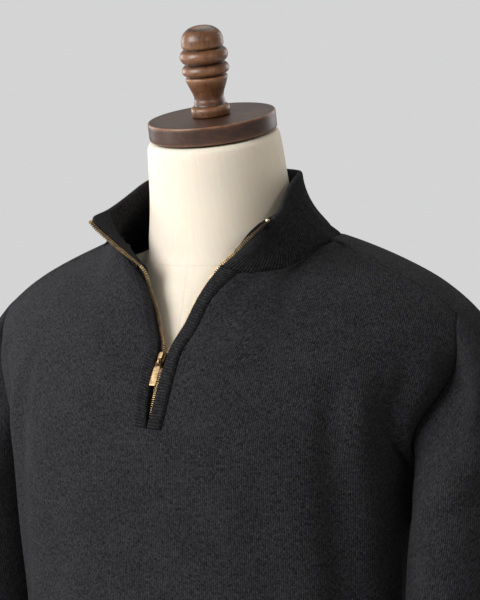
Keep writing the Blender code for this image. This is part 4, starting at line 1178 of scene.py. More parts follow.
# front
sheet = Sheet()
front_worn, front_uv = {}, {}
for hand in (1, -1):
    g = front_fine[hand]
    u, v = runs(g)
    edge = np.maximum(0, u[:, -1:] - u)
    top = v[-1:] - v
    arm = np.where(np.arange(len(g))[:, None] >= ARM_ROW, edge, 1.0)
    calm = 1 - np.exp(-(edge / 0.012) ** 2)
    calm *= 1 - np.exp(-(top / 0.012) ** 2)
    calm *= 1 - np.exp(-(v / 0.006) ** 2)
    calm *= 1 - np.exp(-(u / 0.030) ** 2) * np.clip((np.arange(len(g))[:, None] - SLIT + 20) / 20, 0, 1)
    move = drape_body(g, -1, hand) * calm + seam_trough(arm, 0.0005) + welt(top) + seam_trough(v, 0.0008, 0.003)
    move = move + np.where(arm < 0.9, armhole_fold(edge, g[..., 2], hand), 0.0)
    # grid_normals of a left half face outwards
    worn = settle(g, move)
    front_worn[hand], front_uv[hand] = worn, (u, v)
meet(front_worn, 0, rows=slice(0, SLIT + 1))
for hand in (1, -1):
    u, v = front_uv[hand]
    sheet.add(turn_over(front_worn[hand], hand), u * hand, v, flip=hand < 0)
front = cloth("sweater_front_knit", sheet, CLOTH, KNIT)
piece(front, "sweater_front")

# back
sheet = Sheet()
u, v = runs(back_fine)
back_worn = {}
for hand in (1, -1):
    g = back_fine
    edge, top = np.maximum(0, u[:, -1:] - u), v[-1:] - v
    arm = np.where(np.arange(len(g))[:, None] >= ARM_ROW, edge, 1.0)
    calm = (1 - np.exp(-(edge / 0.012) ** 2)) * (1 - np.exp(-(top / 0.012) ** 2)) * (1 - np.exp(-(v / 0.006) ** 2))
    move = drape_body(g, 1, hand) * calm + seam_trough(arm) + seam_trough(top) + seam_trough(v, 0.0008, 0.003)
    back_worn[hand] = settle(g, -move)
meet(back_worn, 0)
for hand in (1, -1):
    sheet.add(turn_over(back_worn[hand], hand), u * hand, v, flip=hand > 0)
back = cloth("sweater_back_knit", sheet, CLOTH, KNIT)
piece(back, "sweater_back")

# sleeves
ring = np.concatenate([sleeve_fine, sleeve_fine[:, :1]], 1)
su, sv = runs(ring)
RIDGE_COL = STRAP_0 + STRAP_N // 2
su = su - su[:, RIDGE_COL][:, None]
turn_fine = np.interp(np.arange(sleeve_fine.shape[1] + 1) / SLEEVE_COL, np.arange(len(sleeve_turn) + 1),
                      np.append(sleeve_turn, 540.0))
tu, tv = runs(strap_fine)
tu = tu - tu[:, STRAP_N // 2][:, None]
for hand in (1, -1):
    own = "left" if hand > 0 else "right"
    n = -grid_normals(ring)
    n[:, 0] = n[:, -1] = (n[:, 0] + n[:, -1]) / 2
    n /= np.linalg.norm(n, axis=-1, keepdims=True)
    calm = (1 - np.exp(-(sv / 0.020) ** 2)) * (1 - np.exp(-((sv[-1:] - sv) / 0.008) ** 2))
    move = drape_sleeve(sv, turn_fine[None], hand) * calm
    cols = np.arange(ring.shape[1])
    on_strap = (cols >= STRAP_0) & (cols <= STRAP_0 + STRAP_N)
    corner = np.minimum(np.abs(su - su[:, STRAP_0][:, None]), np.abs(su - su[:, STRAP_0 + STRAP_N][:, None]))
    start = np.where(on_strap[None], np.hypot(sv, corner * 1.5 + 0.004), sv)
    move = move + seam_trough(start, 0.0008, 0.003) + seam_trough(sv[-1:] - sv, 0.0008, 0.003)
    # fulness that hangs over the cuff
    hang = np.clip((sv[-1:] - sv) / 0.045, 0, 1)
    move = move + 0.0030 * np.sin(math.pi * hang) ** 1.5 * (1 + 0.3 * np.sin(np.radians(turn_fine)[None] * 9 + hand))
    worn = ring + n * move[..., None]
    side = np.minimum(tu - tu[:, :1], tu[:, -1:] - tu)
    lift = welt(side) + seam_trough(tv[-1:] - tv)
    m = grid_normals(strap_fine)
    if m[len(m) // 2, m.shape[1] // 2, 2] < 0:
        m = -m
    laid = strap_fine + m * lift[..., None]
    for k in range(5):
        laid[k] += (worn[0, STRAP_0:STRAP_0 + STRAP_N + 1] - laid[0]) * (1 - k / 5) ** 2 if k else 0
    laid[0] = worn[0, STRAP_0:STRAP_0 + STRAP_N + 1]
    # the shoulder is rounded where the strap runs out into the sleeve
    over = np.concatenate([laid[:0:-1], worn[:, STRAP_0:STRAP_0 + STRAP_N + 1]])
    join = len(laid) - 1
    step = np.linalg.norm(np.diff(over, axis=0), axis=-1).mean(1)
    run = np.concatenate([[0], np.cumsum(step)])
    near = np.exp(-((run - run[join]) / 0.032) ** 2)[1:-1, None]
    across_it = np.sin(math.pi * np.arange(STRAP_N + 1) / STRAP_N)[None] ** 0.5
    before, after = step[:-1, None, None], step[1:, None, None]
    for _ in range(90):
        even = (over[:-2] * after + over[2:] * before) / (before + after)
        over[1:-1] += (even - over[1:-1]) * (0.5 * near * across_it)[..., None]
    laid = over[join::-1]
    worn[:, STRAP_0:STRAP_0 + STRAP_N + 1] = over[join:]
    # the sleeve's edge meets the body's
    rim = np.concatenate([front_worn[hand][ARM_ROW:, -1][::-1], back_worn[hand][ARM_ROW:, -1]])
    move = nearest(worn[0], rim) - worn[0]
    free = np.clip(corner[0] / 0.006, 0, 1) * np.where(on_strap, 0.0, 1.0)
    move *= (free * np.clip(0.006 / np.maximum(np.linalg.norm(move, axis=-1), 1e-9), 0, 1))[:, None]
    for k in range(5):
        worn[k] += move * (1 - k / 5) ** 2
    sheet = Sheet()
    left = hand > 0
    # the seam's allowance lies under the body's cloth
    into = worn[0] - worn[1]
    into /= np.linalg.norm(into, axis=-1, keepdims=True)
    under = np.stack([worn[0] + into * 0.0034 - n[0] * 0.0022, worn[0] + into * 0.0011 - n[0] * 0.0006])
    whole = np.concatenate([under, worn])
    sheet.add(turn_over(whole[:, :-1], hand), np.concatenate([su[:1], su[:1], su]) * hand,
              np.concatenate([sv[:1] - 0.0034, sv[:1] - 0.0011, sv]), close=True, flip=left)
    sheet.add(turn_over(laid, hand), tu * hand, -tv, flip=not left)
    sleeve = cloth("sleeve_" + own + "_knit", sheet, CLOTH, KNIT)
    piece(sleeve, "sleeve_" + own)
sleeve_end = ring[-1, :-1]


# ------------------------------------------------------------ ribbed pieces --
def rib_shape(phase):
    """Height of a rib, 1 on its crest and 0 in the furrow between two."""
    return 1 - (1 - np.abs(np.sin(np.pi * phase))) ** 1.6


def around(grid, count):
    """A closed grid read at count even places round it."""
    step = np.linalg.norm(np.diff(np.concatenate([grid, grid[:, :1]], 1), axis=1), axis=-1).mean(0)
    knots = np.concatenate([[0], np.cumsum(step)])
    k = 6
    flat = np.swapaxes(grid, 0, 1)
    wide = np.concatenate([flat[-k:], flat, flat[:k + 1]])
    wider = np.concatenate([knots[-1 - k:-1] - knots[-1], knots, knots[1:k + 1] + knots[-1]])
    return np.swapaxes(natural(wider, wide, knots[-1] * np.arange(count) / count), 0, 1)


def ribbed_band(name, grid, pitch, per_rib, row_parts, flip, hand, line, node, close=False, amp=0.0008):
    """A rib that hangs from the seam along `line`; its ribs run down."""
    band = finer(grid, row_parts)
    ends = np.concatenate([band[0], band[0][:1]]) if close else band[0]
    ribs = int(round(np.linalg.norm(np.diff(ends, axis=0), axis=1).sum() / pitch))
    if close:
        band = around(band, ribs * per_rib)
    else:
        knots = np.concatenate([[0], np.cumsum(np.linalg.norm(np.diff(band, axis=1), axis=-1).mean(0))])
        band = np.swapaxes(natural(knots, np.swapaxes(band, 0, 1), np.linspace(0, knots[-1], ribs * per_rib + 1)), 0, 1)
    pull_to(band, 0, line, 3)
    upward = band[0] - band[1]
    upward /= np.linalg.norm(upward, axis=1, keepdims=True)
    inward = grid_normals(band)[0] * (1 if flip else -1)
    band = np.concatenate([[band[0] + upward * 0.0035 + inward * 0.0022], [band[0] + upward * 0.0010 + inward * 0.0010], band])
    _, v = runs(band)
    phase = np.arange(ribs * per_rib + 1) / per_rib
    u = np.broadcast_to(phase * RIB_PITCH, (len(band), len(phase)))
    lift = amp * rib_shape(phase[:band.shape[1]])[None] * np.clip(v / 0.0025, 0.25, 1)
    if close:
        v = np.concatenate([v, v[:, :1]], 1)
    sheet = Sheet().add(turn_over(band, hand), u, v, close=close, flip=flip, lift=lift)
    return piece(cloth(name, sheet, RIB, RIBBED), node)


for side, own, worn in ((-1, "front", front_worn), (1, "back", back_worn)):
    angle = np.linspace(0, 90, 19)
    half = np.array([ring_point(z, angle, side) for z in np.linspace(Z_RIB, Z_HEM, 4)])
    grid = np.concatenate([mirrored(half)[:, :0:-1], half], 1)
    line = np.concatenate([mirrored(worn[-1][0])[::-1], worn[1][0][1:]])
    ribbed_band("hem_rib_" + own + "_knit", grid, 0.0031, 5, [5, 5, 5], side < 0, 1, line, "hem_rib_" + own)
for hand in (1, -1):
    own = "left" if hand > 0 else "right"
    grid = np.array([sleeve_ring(z, sleeve_turn) for z in np.linspace(Z_CUFF + CUFF, Z_CUFF, 4)])
    ribbed_band("cuff_" + own + "_knit", grid, 0.0030, 6, [5, 5, 5], hand > 0, hand,
                np.concatenate([sleeve_end, sleeve_end[:1]]), "cuff_" + own, close=True)

# collar: ribs run from its seam to its rim, and the open front edge is folded
sheet = Sheet()
PER_RIB = 5
collar_fine, collar_uv = {}, {}
for hand in (1, -1):
    g = finer(collar_parts[hand], 5)
    base = g[0]
    step = np.linalg.norm(np.diff(base, axis=0), axis=1)
    knots = np.concatenate([[0], np.cumsum(step)])
    ribs = int(round(knots[-1] / 0.0033))
    at = knots[-1] * np.arange(ribs * PER_RIB + 1) / (ribs * PER_RIB)
    g = np.swapaxes(natural(knots, np.swapaxes(g, 0, 1), at), 0, 1)
    g[:, -1, 0] = 0
    line = np.concatenate([front_worn[hand][-1, :NECK_COL + 1], laid[-1, 1:-1], back_worn[hand][-1, :NAPE_COL + 1][::-1]])
    first = g[0, 0].copy()
    pull_to(g, 0, line, 5)
    u, v = runs(g)
    high = v / v[-1:]
    # the outer edge is folded back from the zip, and its corner is round
    back_off = 0.0036 * np.clip(high[:, 0] / 0.30, 0, 1) ** 0.8
    for i in range(len(g)):
        d = back_off[i] * np.clip(1 - u[i] / 0.030, 0, 1) ** 2
        new = np.stack([np.interp(u[i] + d, u[i], g[i, :, c]) for c in range(3)], 1)
        g[i] = new
    u, v = runs(g)
    R = 0.0075
    d = np.clip(u[-1], 0, R)
    drop = R - np.sqrt(np.maximum(R * R - (R - d) ** 2, 0))
    share = np.clip(1 - (v[-1:] - v) / 0.016, 0, 1)
    low = drop[None] * share ** 1.5
    for j in range(int(np.searchsorted(u[-1], R)) + 1):
        new_v = np.clip(v[:, j] - low[:, j], 0, None)
        g[:, j] = np.stack([np.interp(new_v, v[:, j], g[:, j, c]) for c in range(3)], 1)
    u, v = runs(g)
    phase = np.arange(g.shape[1]) / PER_RIB
    rim = v[-1:] - v
    lift = 0.00085 * rib_shape(phase)[None] * np.clip(v / 0.003, 0.2, 1) * np.clip(0.45 + rim / 0.004, 0, 1)
    # the folded edge beside the zip is a smooth roll
    roll = np.exp(-(u / 0.0030) ** 2)
    lift = lift * (1 - 0.8 * roll) + 0.0006 * roll
    # the body of the collar is a little fuller half way up
    full = 0.0012 * np.sin(np.pi * np.clip(v / v[-1:], 0, 1))
    n = grid_normals(g)
    level = 0.0017 * np.exp(-(u / 0.013) ** 2) * np.exp(-(v / 0.011) ** 2)
    g = g + n * (full * (1 - roll) + level)[..., None]
    # its seam allowance goes down behind the front, strap and back
    down = g[0] - g[1]
    down /= np.linalg.norm(down, axis=1, keepdims=True)
    keep = (1 - 0.88 * np.exp(-(u[0] / 0.014) ** 2))[:, None]
    tuck = [g[0] + (down * a - n[0] * b) * keep for a, b in ((0.0060, 0.0030), (0.0018, 0.0018))]
    g = np.concatenate([np.array(tuck), g])
    v = np.concatenate([np.full((1, v.shape[1]), -0.0065), np.full((1, v.shape[1]), -0.0022), v])
    lift = np.concatenate([lift[:1] * 0.5, lift[:1] * 0.7, lift])
    collar_fine[hand] = g
    collar_uv[hand] = (np.broadcast_to(phase * RIB_PITCH, v.shape) * hand, v, lift)
meet(collar_fine, -1)
for hand in (1, -1):
    uu, v, lift = collar_uv[hand]
    sheet.add(turn_over(collar_fine[hand], hand), uu, v, flip=hand < 0, lift=lift)
collar = cloth("collar_knit", sheet, 0.0038, RIBBED, rounds=6)
piece(collar, "collar")

# ---------------------------------------------------------- beside the zip ---
edge_lines = {}
for hand in (1, -1):
    own = "left" if hand > 0 else "right"
    coarse = front_halves[hand]
    g = coarse[slit:, :3]
    n_coarse = grid_normals(coarse)[slit:, :3]
    length = np.linalg.norm(np.diff(g[:, 0], axis=0), axis=1).sum()
    ribs = int(round(length / 0.0028))
    per = 6
    knots = np.concatenate([[0], np.cumsum(np.linalg.norm(np.diff(g.mean(1), axis=0), axis=1))])
    at = knots[-1] * np.arange(ribs * per + 1) / (ribs * per)
    both = np.concatenate([g, n_coarse], -1)
    both = natural(knots, both, at)
    both = across(both, 6, np.array([0.0, 0.5, 1.0]))
    g, n = both[..., :3], both[..., 3:]
    n /= np.linalg.norm(n, axis=-1, keepdims=True)
    g[..., 0] = np.maximum(g[..., 0], 0.0002)
    w = np.linspace(0, 1, g.shape[1])[None]
    u, v = runs(g)
    phase = (np.arange(len(g)) / per)[:, None]
    rib = 0.00070 * rib_shape(phase) * np.clip(w * 6, 0.35, 1) * np.clip((1 - w) * 5, 0, 1)
    proud = CLEAR + PLACKET_THICK + 0.0014 * (1 - (2 * w - 0.85) ** 4).clip(0) ** 0.7
    g = g + n * proud[..., None]
    end = len(g)
    g = g - n * (0.0012 * np.clip(1 - (u[-1:] - u) / 0.006, 0, 1) ** 2)[..., None]
    sheet = Sheet()
    place_u = np.broadcast_to(phase * RIB_PITCH, u.shape)
    sheet.add(turn_over(g[:end], hand), place_u[:end], u[:end], flip=hand < 0, lift=np.broadcast_to(rib, u.shape)[:end])
    piece(cloth("placket_" + own + "_knit", sheet, PLACKET_THICK + 0.0006, RIBBED, rounds=4), "placket_" + own)

    # tape, facing and teeth hang on the edge from the slit's end to the rim
    neck = collar_parts[hand]
    rows = np.concatenate([coarse[slit:, :2], neck[1:, :2]])
    whole = np.concatenate([coarse[:, :7], neck[1:, :7]])
    nn = grid_normals(whole)[slit:, :2]
    way = rows[:, 0] - rows[:, 1]
    way /= np.linalg.norm(way, axis=1, keepdims=True)
    knots = np.concatenate([[0], np.cumsum(np.linalg.norm(np.diff(rows[:, 0], axis=0), axis=1))])
    bundle = np.concatenate([rows[:, 0], way, nn[:, 0], rows[:, 1]], -1)
    seam_at = knots[ROWS_HIGH]
    edge_lines[hand] = (knots, bundle, seam_at)


def evened(values, passes):
    values = values.copy()
    for _ in range(passes):
        values[1:-1] = values[1:-1] * 0.5 + (values[:-2] + values[2:]) * 0.25
    return values


# the way each chain is turned where the collar spreads, and how much
TURNED_TO = {-1: (np.array([0.46, -0.86, 0.20]), 0.88), 1: (np.array([0.30, -0.88, 0.36]), 0.30)}


def turned_chain(hand, p, way, n):
    """The chain's own way out of the cloth and way out of the chest: a stiff
    chain doesn't roll as much as the cloth that it is sewn to."""
    tangent = evened(np.gradient(p, axis=0), 6)
    tangent /= np.linalg.norm(tangent, axis=1, keepdims=True)
    face, share = TURNED_TO[hand]
    face = face * np.array([hand, 1, 1])
    share = (share * np.clip((p[:, 2] - 0.815) / 0.02, 0, 1))[:, None]
    if hand < 0:
        n = n * np.where((n * face).sum(1, keepdims=True) < 0, -1.0, 1.0)
    n = n * (1 - share) + face * share
    n = n - tangent * (n * tangent).sum(1, keepdims=True)
    n /= np.linalg.norm(n, axis=1, keepdims=True)
    side = np.cross(n, tangent)
    side = side * np.where((side * way).sum(1, keepdims=True) < 0, -1.0, 1.0)
    return side, n


def edge_at(hand, at):
    """The cloth's edge along the zip at distances from the slit's end: its
    point, the way out of the cloth, the way out of the chest, and a point
    under the cloth."""
    knots, bundle, _ = edge_lines[hand]
    b = natural(knots, bundle, np.asarray(at, float))
    p, way, n, inner = b[:, :3].copy(), b[:, 3:6], b[:, 6:9], b[:, 9:]
    p[:, 0] = np.maximum(p[:, 0], 0)
    if len(p) > 8:
        way, n = evened(way, 12), evened(n, 12)
        if hand > 0:
            way, n = turned_chain(hand, p, way, n)
    way = way / np.linalg.norm(way, axis=1, keepdims=True)
    n = n - way * (n * way).sum(1, keepdims=True)
    n = n / np.linalg.norm(n, axis=1, keepdims=True)
    return p, way, n, inner


def chain_reach(hand, p, at):
    """How far the middle of the teeth lies beyond the cloth's edge: on the
    middle line below the slider, on the tape's edge above it."""
    closed = np.abs(p[:, 0])
    share = np.clip((p[:, 2] - (Z_SLIDER - 0.002)) / 0.016, 0, 1)
    share = share * share * (3 - 2 * share)
    knots, _, seam_at = edge_lines[hand]
    open_part = 0.0032 + 0.0004 * np.clip((at - seam_at) / 0.02, 0, 1)
    top = np.clip((at - knots[-1] + 0.014) / 0.012, 0, 1)
    return (closed * (1 - share) + open_part * share) * (1 - 0.55 * top * top * (3 - 2 * top))


CHAIN_DEEP = 0.0040
for hand in (1, -1):
    own = "left" if hand > 0 else "right"
    knots, bundle, seam_at = edge_lines[hand]
    total = knots[-1]
    at = np.linspace(0, total - 0.0036, 120)
    p, way, n, inner = edge_at(hand, at)
    reach = chain_reach(hand, p, at)
    dip = np.exp(-((at - seam_at) / 0.030) ** 2)[:, None]
    deep = CHAIN_DEEP - 0.0006 + (0.0014 if hand > 0 else 0.0004) * dip
    outer = p + way * (np.where(reach > np.abs(p[:, 0]) - 0.0008, np.abs(p[:, 0]) - 0.0008, reach + 0.0006).clip(-0.02, None))[:, None]
    cols = np.linspace(0, 1, 7)
    strip = outer[:, None] + (inner - outer)[:, None] * cols[None, :, None] * np.array([1.0])
    strip = strip - n[:, None] * deep[:, None]
    u, v = runs(strip)
    sheet = Sheet().add(turn_over(strip, hand), u, v, flip=hand < 0)
    piece(cloth("zip_tape_" + own + "_woven", sheet, TAPE, BLACK), "zip_tape_" + own)

    # facing: ribbed strip folded over the tape, inside
    neck = collar_parts[hand]
    rows = [r[:7] for r in front_halves[hand][slit + ROWS_HIGH - 3:-1]] + list(neck)
    ways = list(grid_normals(front_halves[hand])[slit + ROWS_HIGH - 3:-1, :7]) + list(grid_normals(neck))
    wide = [0.007, 0.009, 0.013, 0.019, 0.024, 0.0265, 0.027, 0.027, 0.027]
    out = [0.0004, 0.0022, 0.0034, 0.0032, 0.0026, 0.0018, 0.0012, 0.0010, 0.0004]
    if hand > 0:
        out = [0.0046, 0.0052, 0.0056, 0.0056, 0.0056, 0.0058, 0.0060, 0.0058, 0.0040]
    strip, face = [], []
    for row, w, width, reach in zip(rows, ways, wide, out):
        run = length_share(row) * np.linalg.norm(np.diff(row, axis=0), axis=1).sum()
        k = np.linspace(0, width, 7)
        r = np.stack([np.interp(k, run, row[:, i]) for i in range(3)], 1)
        r[0] += (r[0] - r[1]) / np.linalg.norm(r[0] - r[1]) * reach
        strip.append(r)
        face.append(np.stack([np.interp(k, run, w[:, i]) for i in range(3)], 1))
    both = np.concatenate([np.array(strip), np.array(face)], -1)
    both = finer(both, 5, np.concatenate([[0], np.cumsum(np.linalg.norm(np.diff(np.array(strip)[:, 0], axis=0), axis=1))]))
    ribs = 11
    both = across(both, 10, np.arange(7.0))[:, ::1]
    g, n = both[..., :3], both[..., 3:]
    n /= np.linalg.norm(n, axis=-1, keepdims=True)
    u, v = runs(g)
    fine_v = v[:, :1] - v[-1, 0] * (5.0 / 8.0)
    deep = CHAIN_DEEP + TAPE + 0.0012 * np.exp(-((v - v[-1] * 0.38) / 0.03) ** 2)
    # its corner is round and stays just below the collar's rim
    near = np.clip(u[-1], 0, 0.008)
    drop = 0.0034 + 0.008 - np.sqrt(0.008 ** 2 - (0.008 - near) ** 2)
    share = np.clip(1 - (v[-1:] - v) / 0.018, 0, 1) ** 1.5
    low = np.clip(v - drop[None] * share, 0, None)
    for j in range(g.shape[1]):
        g[:, j] = np.stack([np.interp(low[:, j], v[:, j], g[:, j, c]) for c in range(3)], 1)
    g = g - n * deep[..., None]
    phase = np.arange(g.shape[1]) / (g.shape[1] - 1) * ribs
    lift = 0.0005 * rib_shape(phase)[None] * np.ones_like(u)
    lift[:, :3] = 0.0002
    sheet = Sheet().add(turn_over(g, hand), np.broadcast_to(phase * RIB_PITCH, u.shape), v, flip=hand < 0, lift=lift)
    piece(cloth("facing_" + own + "_knit", sheet, FACING, RIBBED, rounds=4), "facing_" + own)

# teeth: one small bevelled bar each, clamped round the tape's edge
TOOTH = (0.00190, 0.00050, 0.00105)        # half sizes across, along and through
bar = []
for sx in (-1, 1):
    for sy in (-1, 1):
        for sz in (-1, 1):
            for k in range(3):
                c = [0.62, 0.62, 0.62]
                c[k] = 1.0
                if k == 0:
                    c = [1.0, 0.60, 0.62]
                elif k == 1:
                    c = [0.80, 1.0, 0.62]
                else:
                    c = [0.80, 0.60, 1.0]
                bar.append((sx * c[0], sy * c[1], sz * c[2]))
bar = np.array(bar)
bm = bmesh.new()
for q in bar:
    bm.verts.new(q)
hull = bmesh.ops.convex_hull(bm, input=bm.verts)
bm.verts.ensure_lookup_table()
bm.verts.index_update()
BAR_FACES = [[w.index for w in f.verts] for f in bm.faces]
BAR = np.array([w.co[:] for w in bm.verts])
bm.free()
rng = np.random.default_rng(7)
PITCH = 0.00205
for hand in (1, -1):
    own = "left" if hand > 0 else "right"
    knots, bundle, seam_at = edge_lines[hand]
    first = 0.0010 + (PITCH / 2 if hand < 0 else 0)
    at = np.arange(first, knots[-1] - 0.0062, PITCH)
    p, way, n, inner = edge_at(hand, at)
    q = p + way * chain_reach(hand, p, at)[:, None]
    dip = np.exp(-((at - seam_at) / 0.030) ** 2)[:, None]
    q = q - n * (CHAIN_DEEP - 0.0001 + (0.0014 if hand > 0 else 0.0004) * dip)
    if hand < 0:
        way, n = turned_chain(hand, p, way, n)
    tangent = np.cross(n, way)
    verts, faces, extra = [], [], []
    for i in range(len(at)):
        if abs(p[i, 2] - Z_SLIDER) < 0.0058 and p[i, 0] < 0.012:
            continue
        s = TOOTH
        shift = 0.0
        wobble = rng.normal(0, 0.03, 3)
        w, t, m = way[i] + tangent[i] * wobble[0], tangent[i] - way[i] * wobble[0] + n[i] * wobble[1], n[i]
        long = s[0] * (1 + 0.06 * wobble[2])
        pts = q[i] + (BAR[:, :1] * long + shift) * w + BAR[:, 1:2] * s[1] * t + BAR[:, 2:] * s[2] * m
        faces += [[k + len(verts) * 1 for k in f] for f in BAR_FACES]
        verts += list(turn_over(pts, hand))
        extra += [0.0] * len(pts)
    faces = [f if hand > 0 else f[::-1] for f in faces]
    o = solid("zip_teeth_" + own, verts, faces, BRASS, smooth=False)
    piece(o, None)
    # the stop at the top end of the chain
    p, way, n, inner = (r[-1:] for r in edge_at(hand, np.linspace(knots[-1] - 0.0446, knots[-1] - 0.0046, 21)))
    q = p + way * 0.0018 - n * (CHAIN_DEEP - 0.0001)
    if hand < 0:
        way, n = way, -n
    t = np.cross(n, way)
    pts = q + BAR[:, :1] * 0.0019 * way + BAR[:, 1:2] * 0.0014 * t + BAR[:, 2:] * 0.0013 * n
    o = solid("zip_stop_" + own, turn_over(pts, hand), [f if hand > 0 else f[::-1] for f in BAR_FACES], BRASS, smooth=False)
    piece(o, None)

# ---------------------------------------------------------- slider and pull --
low, high = wall(0, Z_SLIDER - 0.012, -1), wall(0, Z_SLIDER + 0.002, -1)
along = (high - low) / np.linalg.norm(high - low)
out = np.cross([1, 0, 0], along)
origin = (low + high) / 2 + along * 0.005
AXES = np.array([[1, 0, 0], along, out])


def in_frame(points, up=0.0, forward=0.0):
    return origin + (np.asarray(points) + [0, up, forward]) @ AXES


def plate(name, outline, z0, z1, mat, node, slot, body, holes=(), bevel=0.00035, place_up=0.0, place_out=0.0, crown=0.0):
    """A flat plate of this outline, with holes and rounded edges; crown is not used."""
    bm = bmesh.new()
    edges = []
    for loop in (outline, *holes):
        vs = [bm.verts.new((x, y, z0)) for x, y in loop]
        edges += [bm.edges.new((vs[i], vs[(i + 1) % len(vs)])) for i in range(len(vs))]
    bmesh.ops.triangle_fill(bm, use_beauty=True, use_dissolve=False, edges=edges)
    bm.verts.index_update()
    low, rim = list(bm.verts), [e.verts[:] for e in bm.edges if len(e.link_faces) == 1]
    high = [bm.verts.new((w.co.x, w.co.y, z1)) for w in low]
    lid = [[w.index for w in f.verts] for f in bm.faces]
    for f in lid:
        bm.faces.new([high[k] for k in f[::-1]])
    for a, b in rim:
        bm.faces.new((low[a.index], low[b.index], high[b.index], high[a.index]))
    bmesh.ops.recalc_face_normals(bm, faces=bm.faces)
    rim = [e for e in bm.edges if len(e.link_faces) == 2 and e.calc_face_angle(0) > 1.0]
    bmesh.ops.bevel(bm, geom=rim, offset=bevel, segments=3, profile=0.5, affect="EDGES", clamp_overlap=True)
    bmesh.ops.triangulate(bm, faces=[f for f in bm.faces if len(f.verts) > 4])
    bm.verts.index_update()
    pts = np.array([w.co[:] for w in bm.verts])
    faces = [[w.index for w in f.verts] for f in bm.faces]
    bm.free()
    o = solid(name, in_frame(pts, place_up, place_out), faces, mat, angle=35)
    return piece(o, node, body) if slot else o


def rounded(x0, x1, y0, y1, r, steps=6):
    loop = []
    for cx, cy, a0 in ((x1 - r, y1 - r, 0), (x0 + r, y1 - r, 90), (x0 + r, y0 + r, 180), (x1 - r, y0 + r, 270)):
        for k in range(steps + 1):
            a = math.radians(a0 + 90 * k / steps)
            loop.append((cx + r * math.cos(a), cy + r * math.sin(a)))
    return loop


def joined(name, parts, node, body):
    """One object of several."""
    verts, faces, mats, index = [], [], [], []
    for o in parts:
        base = len(verts)
        verts += [w.co[:] for w in o.data.vertices]
        mat = o.data.materials[0]
        if mat not in mats:
            mats.append(mat)
        for f in o.data.polygons:
            faces.append([k + base for k in f.vertices])
            index.append(mats.index(mat))
        bpy.data.objects.remove(o)
    me = bpy.data.meshes.new(name)
    me.from_pydata(verts, [], faces)
    for m in mats:
        me.materials.append(m)
    me.polygons.foreach_set("material_index", index)
    me.shade_smooth()
    me.set_sharp_from_angle(angle=math.radians(35))
    me.update()
    o = bpy.data.objects.new(name, me)
    bpy.context.scene.collection.objects.link(o)
    return piece(o, node, body)


def tube(name, path, radius, mat, steps=10, flat=1.0):
    """A round or flattened bar bent along a path in the slider's frame."""
    path = np.asarray(path, float)
    tang = np.gradient(path, axis=0)
    tang /= np.linalg.norm(tang, axis=1, keepdims=True)
    side = np.array([1.0, 0, 0])
    verts, faces = [], []
    for q, t in zip(path, tang):
        s = side - t * side.dot(t)
        s /= np.linalg.norm(s)
        b = np.cross(t, s)
        for k in range(steps):
            a = 2 * math.pi * k / steps
            verts.append(q + s * radius * math.cos(a) * flat + b * radius * math.sin(a))
    for i in range(len(path) - 1):
        for k in range(steps):
            j = (k + 1) % steps
            faces.append([i * steps + k, i * steps + j, (i + 1) * steps + j, (i + 1) * steps + k])
    faces.append(list(range(steps))[::-1])
    faces.append([(len(path) - 1) * steps + k for k in range(steps)])
    return solid(name, in_frame(verts), faces, mat, angle=50)


# slider: top plate that widens towards its shoulders, lower plate, side
# flanges, a raised cap along the plate and the lug that the pull hangs on
shield = [(-0.0027, -0.0070), (0.0027, -0.0070), (0.0031, -0.0042), (0.0039, 0.0010), (0.0041, 0.0044),
          (0.0036, 0.0066), (0.0016, 0.0072), (0.0, 0.0060), (-0.0016, 0.0072), (-0.0036, 0.0066),
          (-0.0041, 0.0044), (-0.0039, 0.0010), (-0.0031, -0.0042)]
# the plates and flanges take the darker brass as painted shade; the cap and the lug take the plain brass
parts = [plate("a", shield, 0.0010, 0.0023, SHADED_BRASS, None, None, None, bevel=0.00030),
         plate("b", shield, -0.0016, -0.0007, SHADED_BRASS, None, None, None, bevel=0.00025)]
for s in (-1, 1):
    flange = [(s * 0.0041, 0.0040), (s * 0.0033, 0.0040), (s * 0.0020, -0.0068), (s * 0.0027, -0.0068)]
    parts.append(plate("c", flange if s < 0 else flange[::-1], -0.0009, 0.0012, SHADED_BRASS, None, None, None, bevel=0.00012))
parts.append(plate("e", rounded(-0.0017, 0.0017, -0.0002, 0.0058, 0.0009), 0.0020, 0.0045, BRASS, None, None, None, bevel=0.0006))
lug = [(0, -0.0064, 0.0018)] + [
    (0, -0.0033 - 0.0029 * math.cos(math.pi * k / 14), 0.0022 + 0.0034 * math.sin(math.pi * k / 14) ** 0.6) for k in range(15)] + [(0, -0.0002, 0.0018)]
parts.append(tube("d", lug, 0.00062, BRASS, 10, 1.7))
joined("zip_slider_brass", parts, "zip_slider", "sweater_on_form")
# pull: flat tab, narrower round the eye at its top, with painted shade there in the darker brass
edge = rounded(-0.0031, 0.0031, -0.0240, 0.0012, 0.0008)
neck = [(0.0025, 0.0002), (0.0023, 0.0009), (0.0017, 0.0012)]
foot = [q for q in edge if q[1] < -0.01]
tab = neck + [(-x, y) for x, y in neck[::-1]] + [(-0.0025, -0.0054), (-0.0031, -0.0064)] + foot + [(0.0031, -0.0064), (0.0025, -0.0054)]
eye = rounded(-0.0014, 0.0014, -0.0044, 0.0001, 0.0006)[::-1]
pull = plate("zip_pull_brass", tab, -0.0006, 0.0006, BRASS, "zip_pull", "antique_brass", "pull",
             holes=(eye,), bevel=0.00028, place_up=-0.0040, place_out=0.0040)
pull.data.materials.append(SHADED_BRASS)
# painted shade: the faces near the eye take the darker brass
for f in pull.data.polygons:
    if (np.array(pull.matrix_world @ f.center) - origin) @ along > -0.0040 - 0.0052:
        f.material_index = 1


# ------------------------------------------------------------ the dress form -
steps = 144
heights = np.unique(np.concatenate([np.linspace(0.200, 0.226, 8), np.linspace(0.226, 0.84, 36),
                                    np.linspace(0.84, 0.935, 30), np.linspace(0.935, 0.9975, 14), np.linspace(0.9975, 1.002, 5)]))
rings = np.array([form_ring(z, steps) for z in heights])
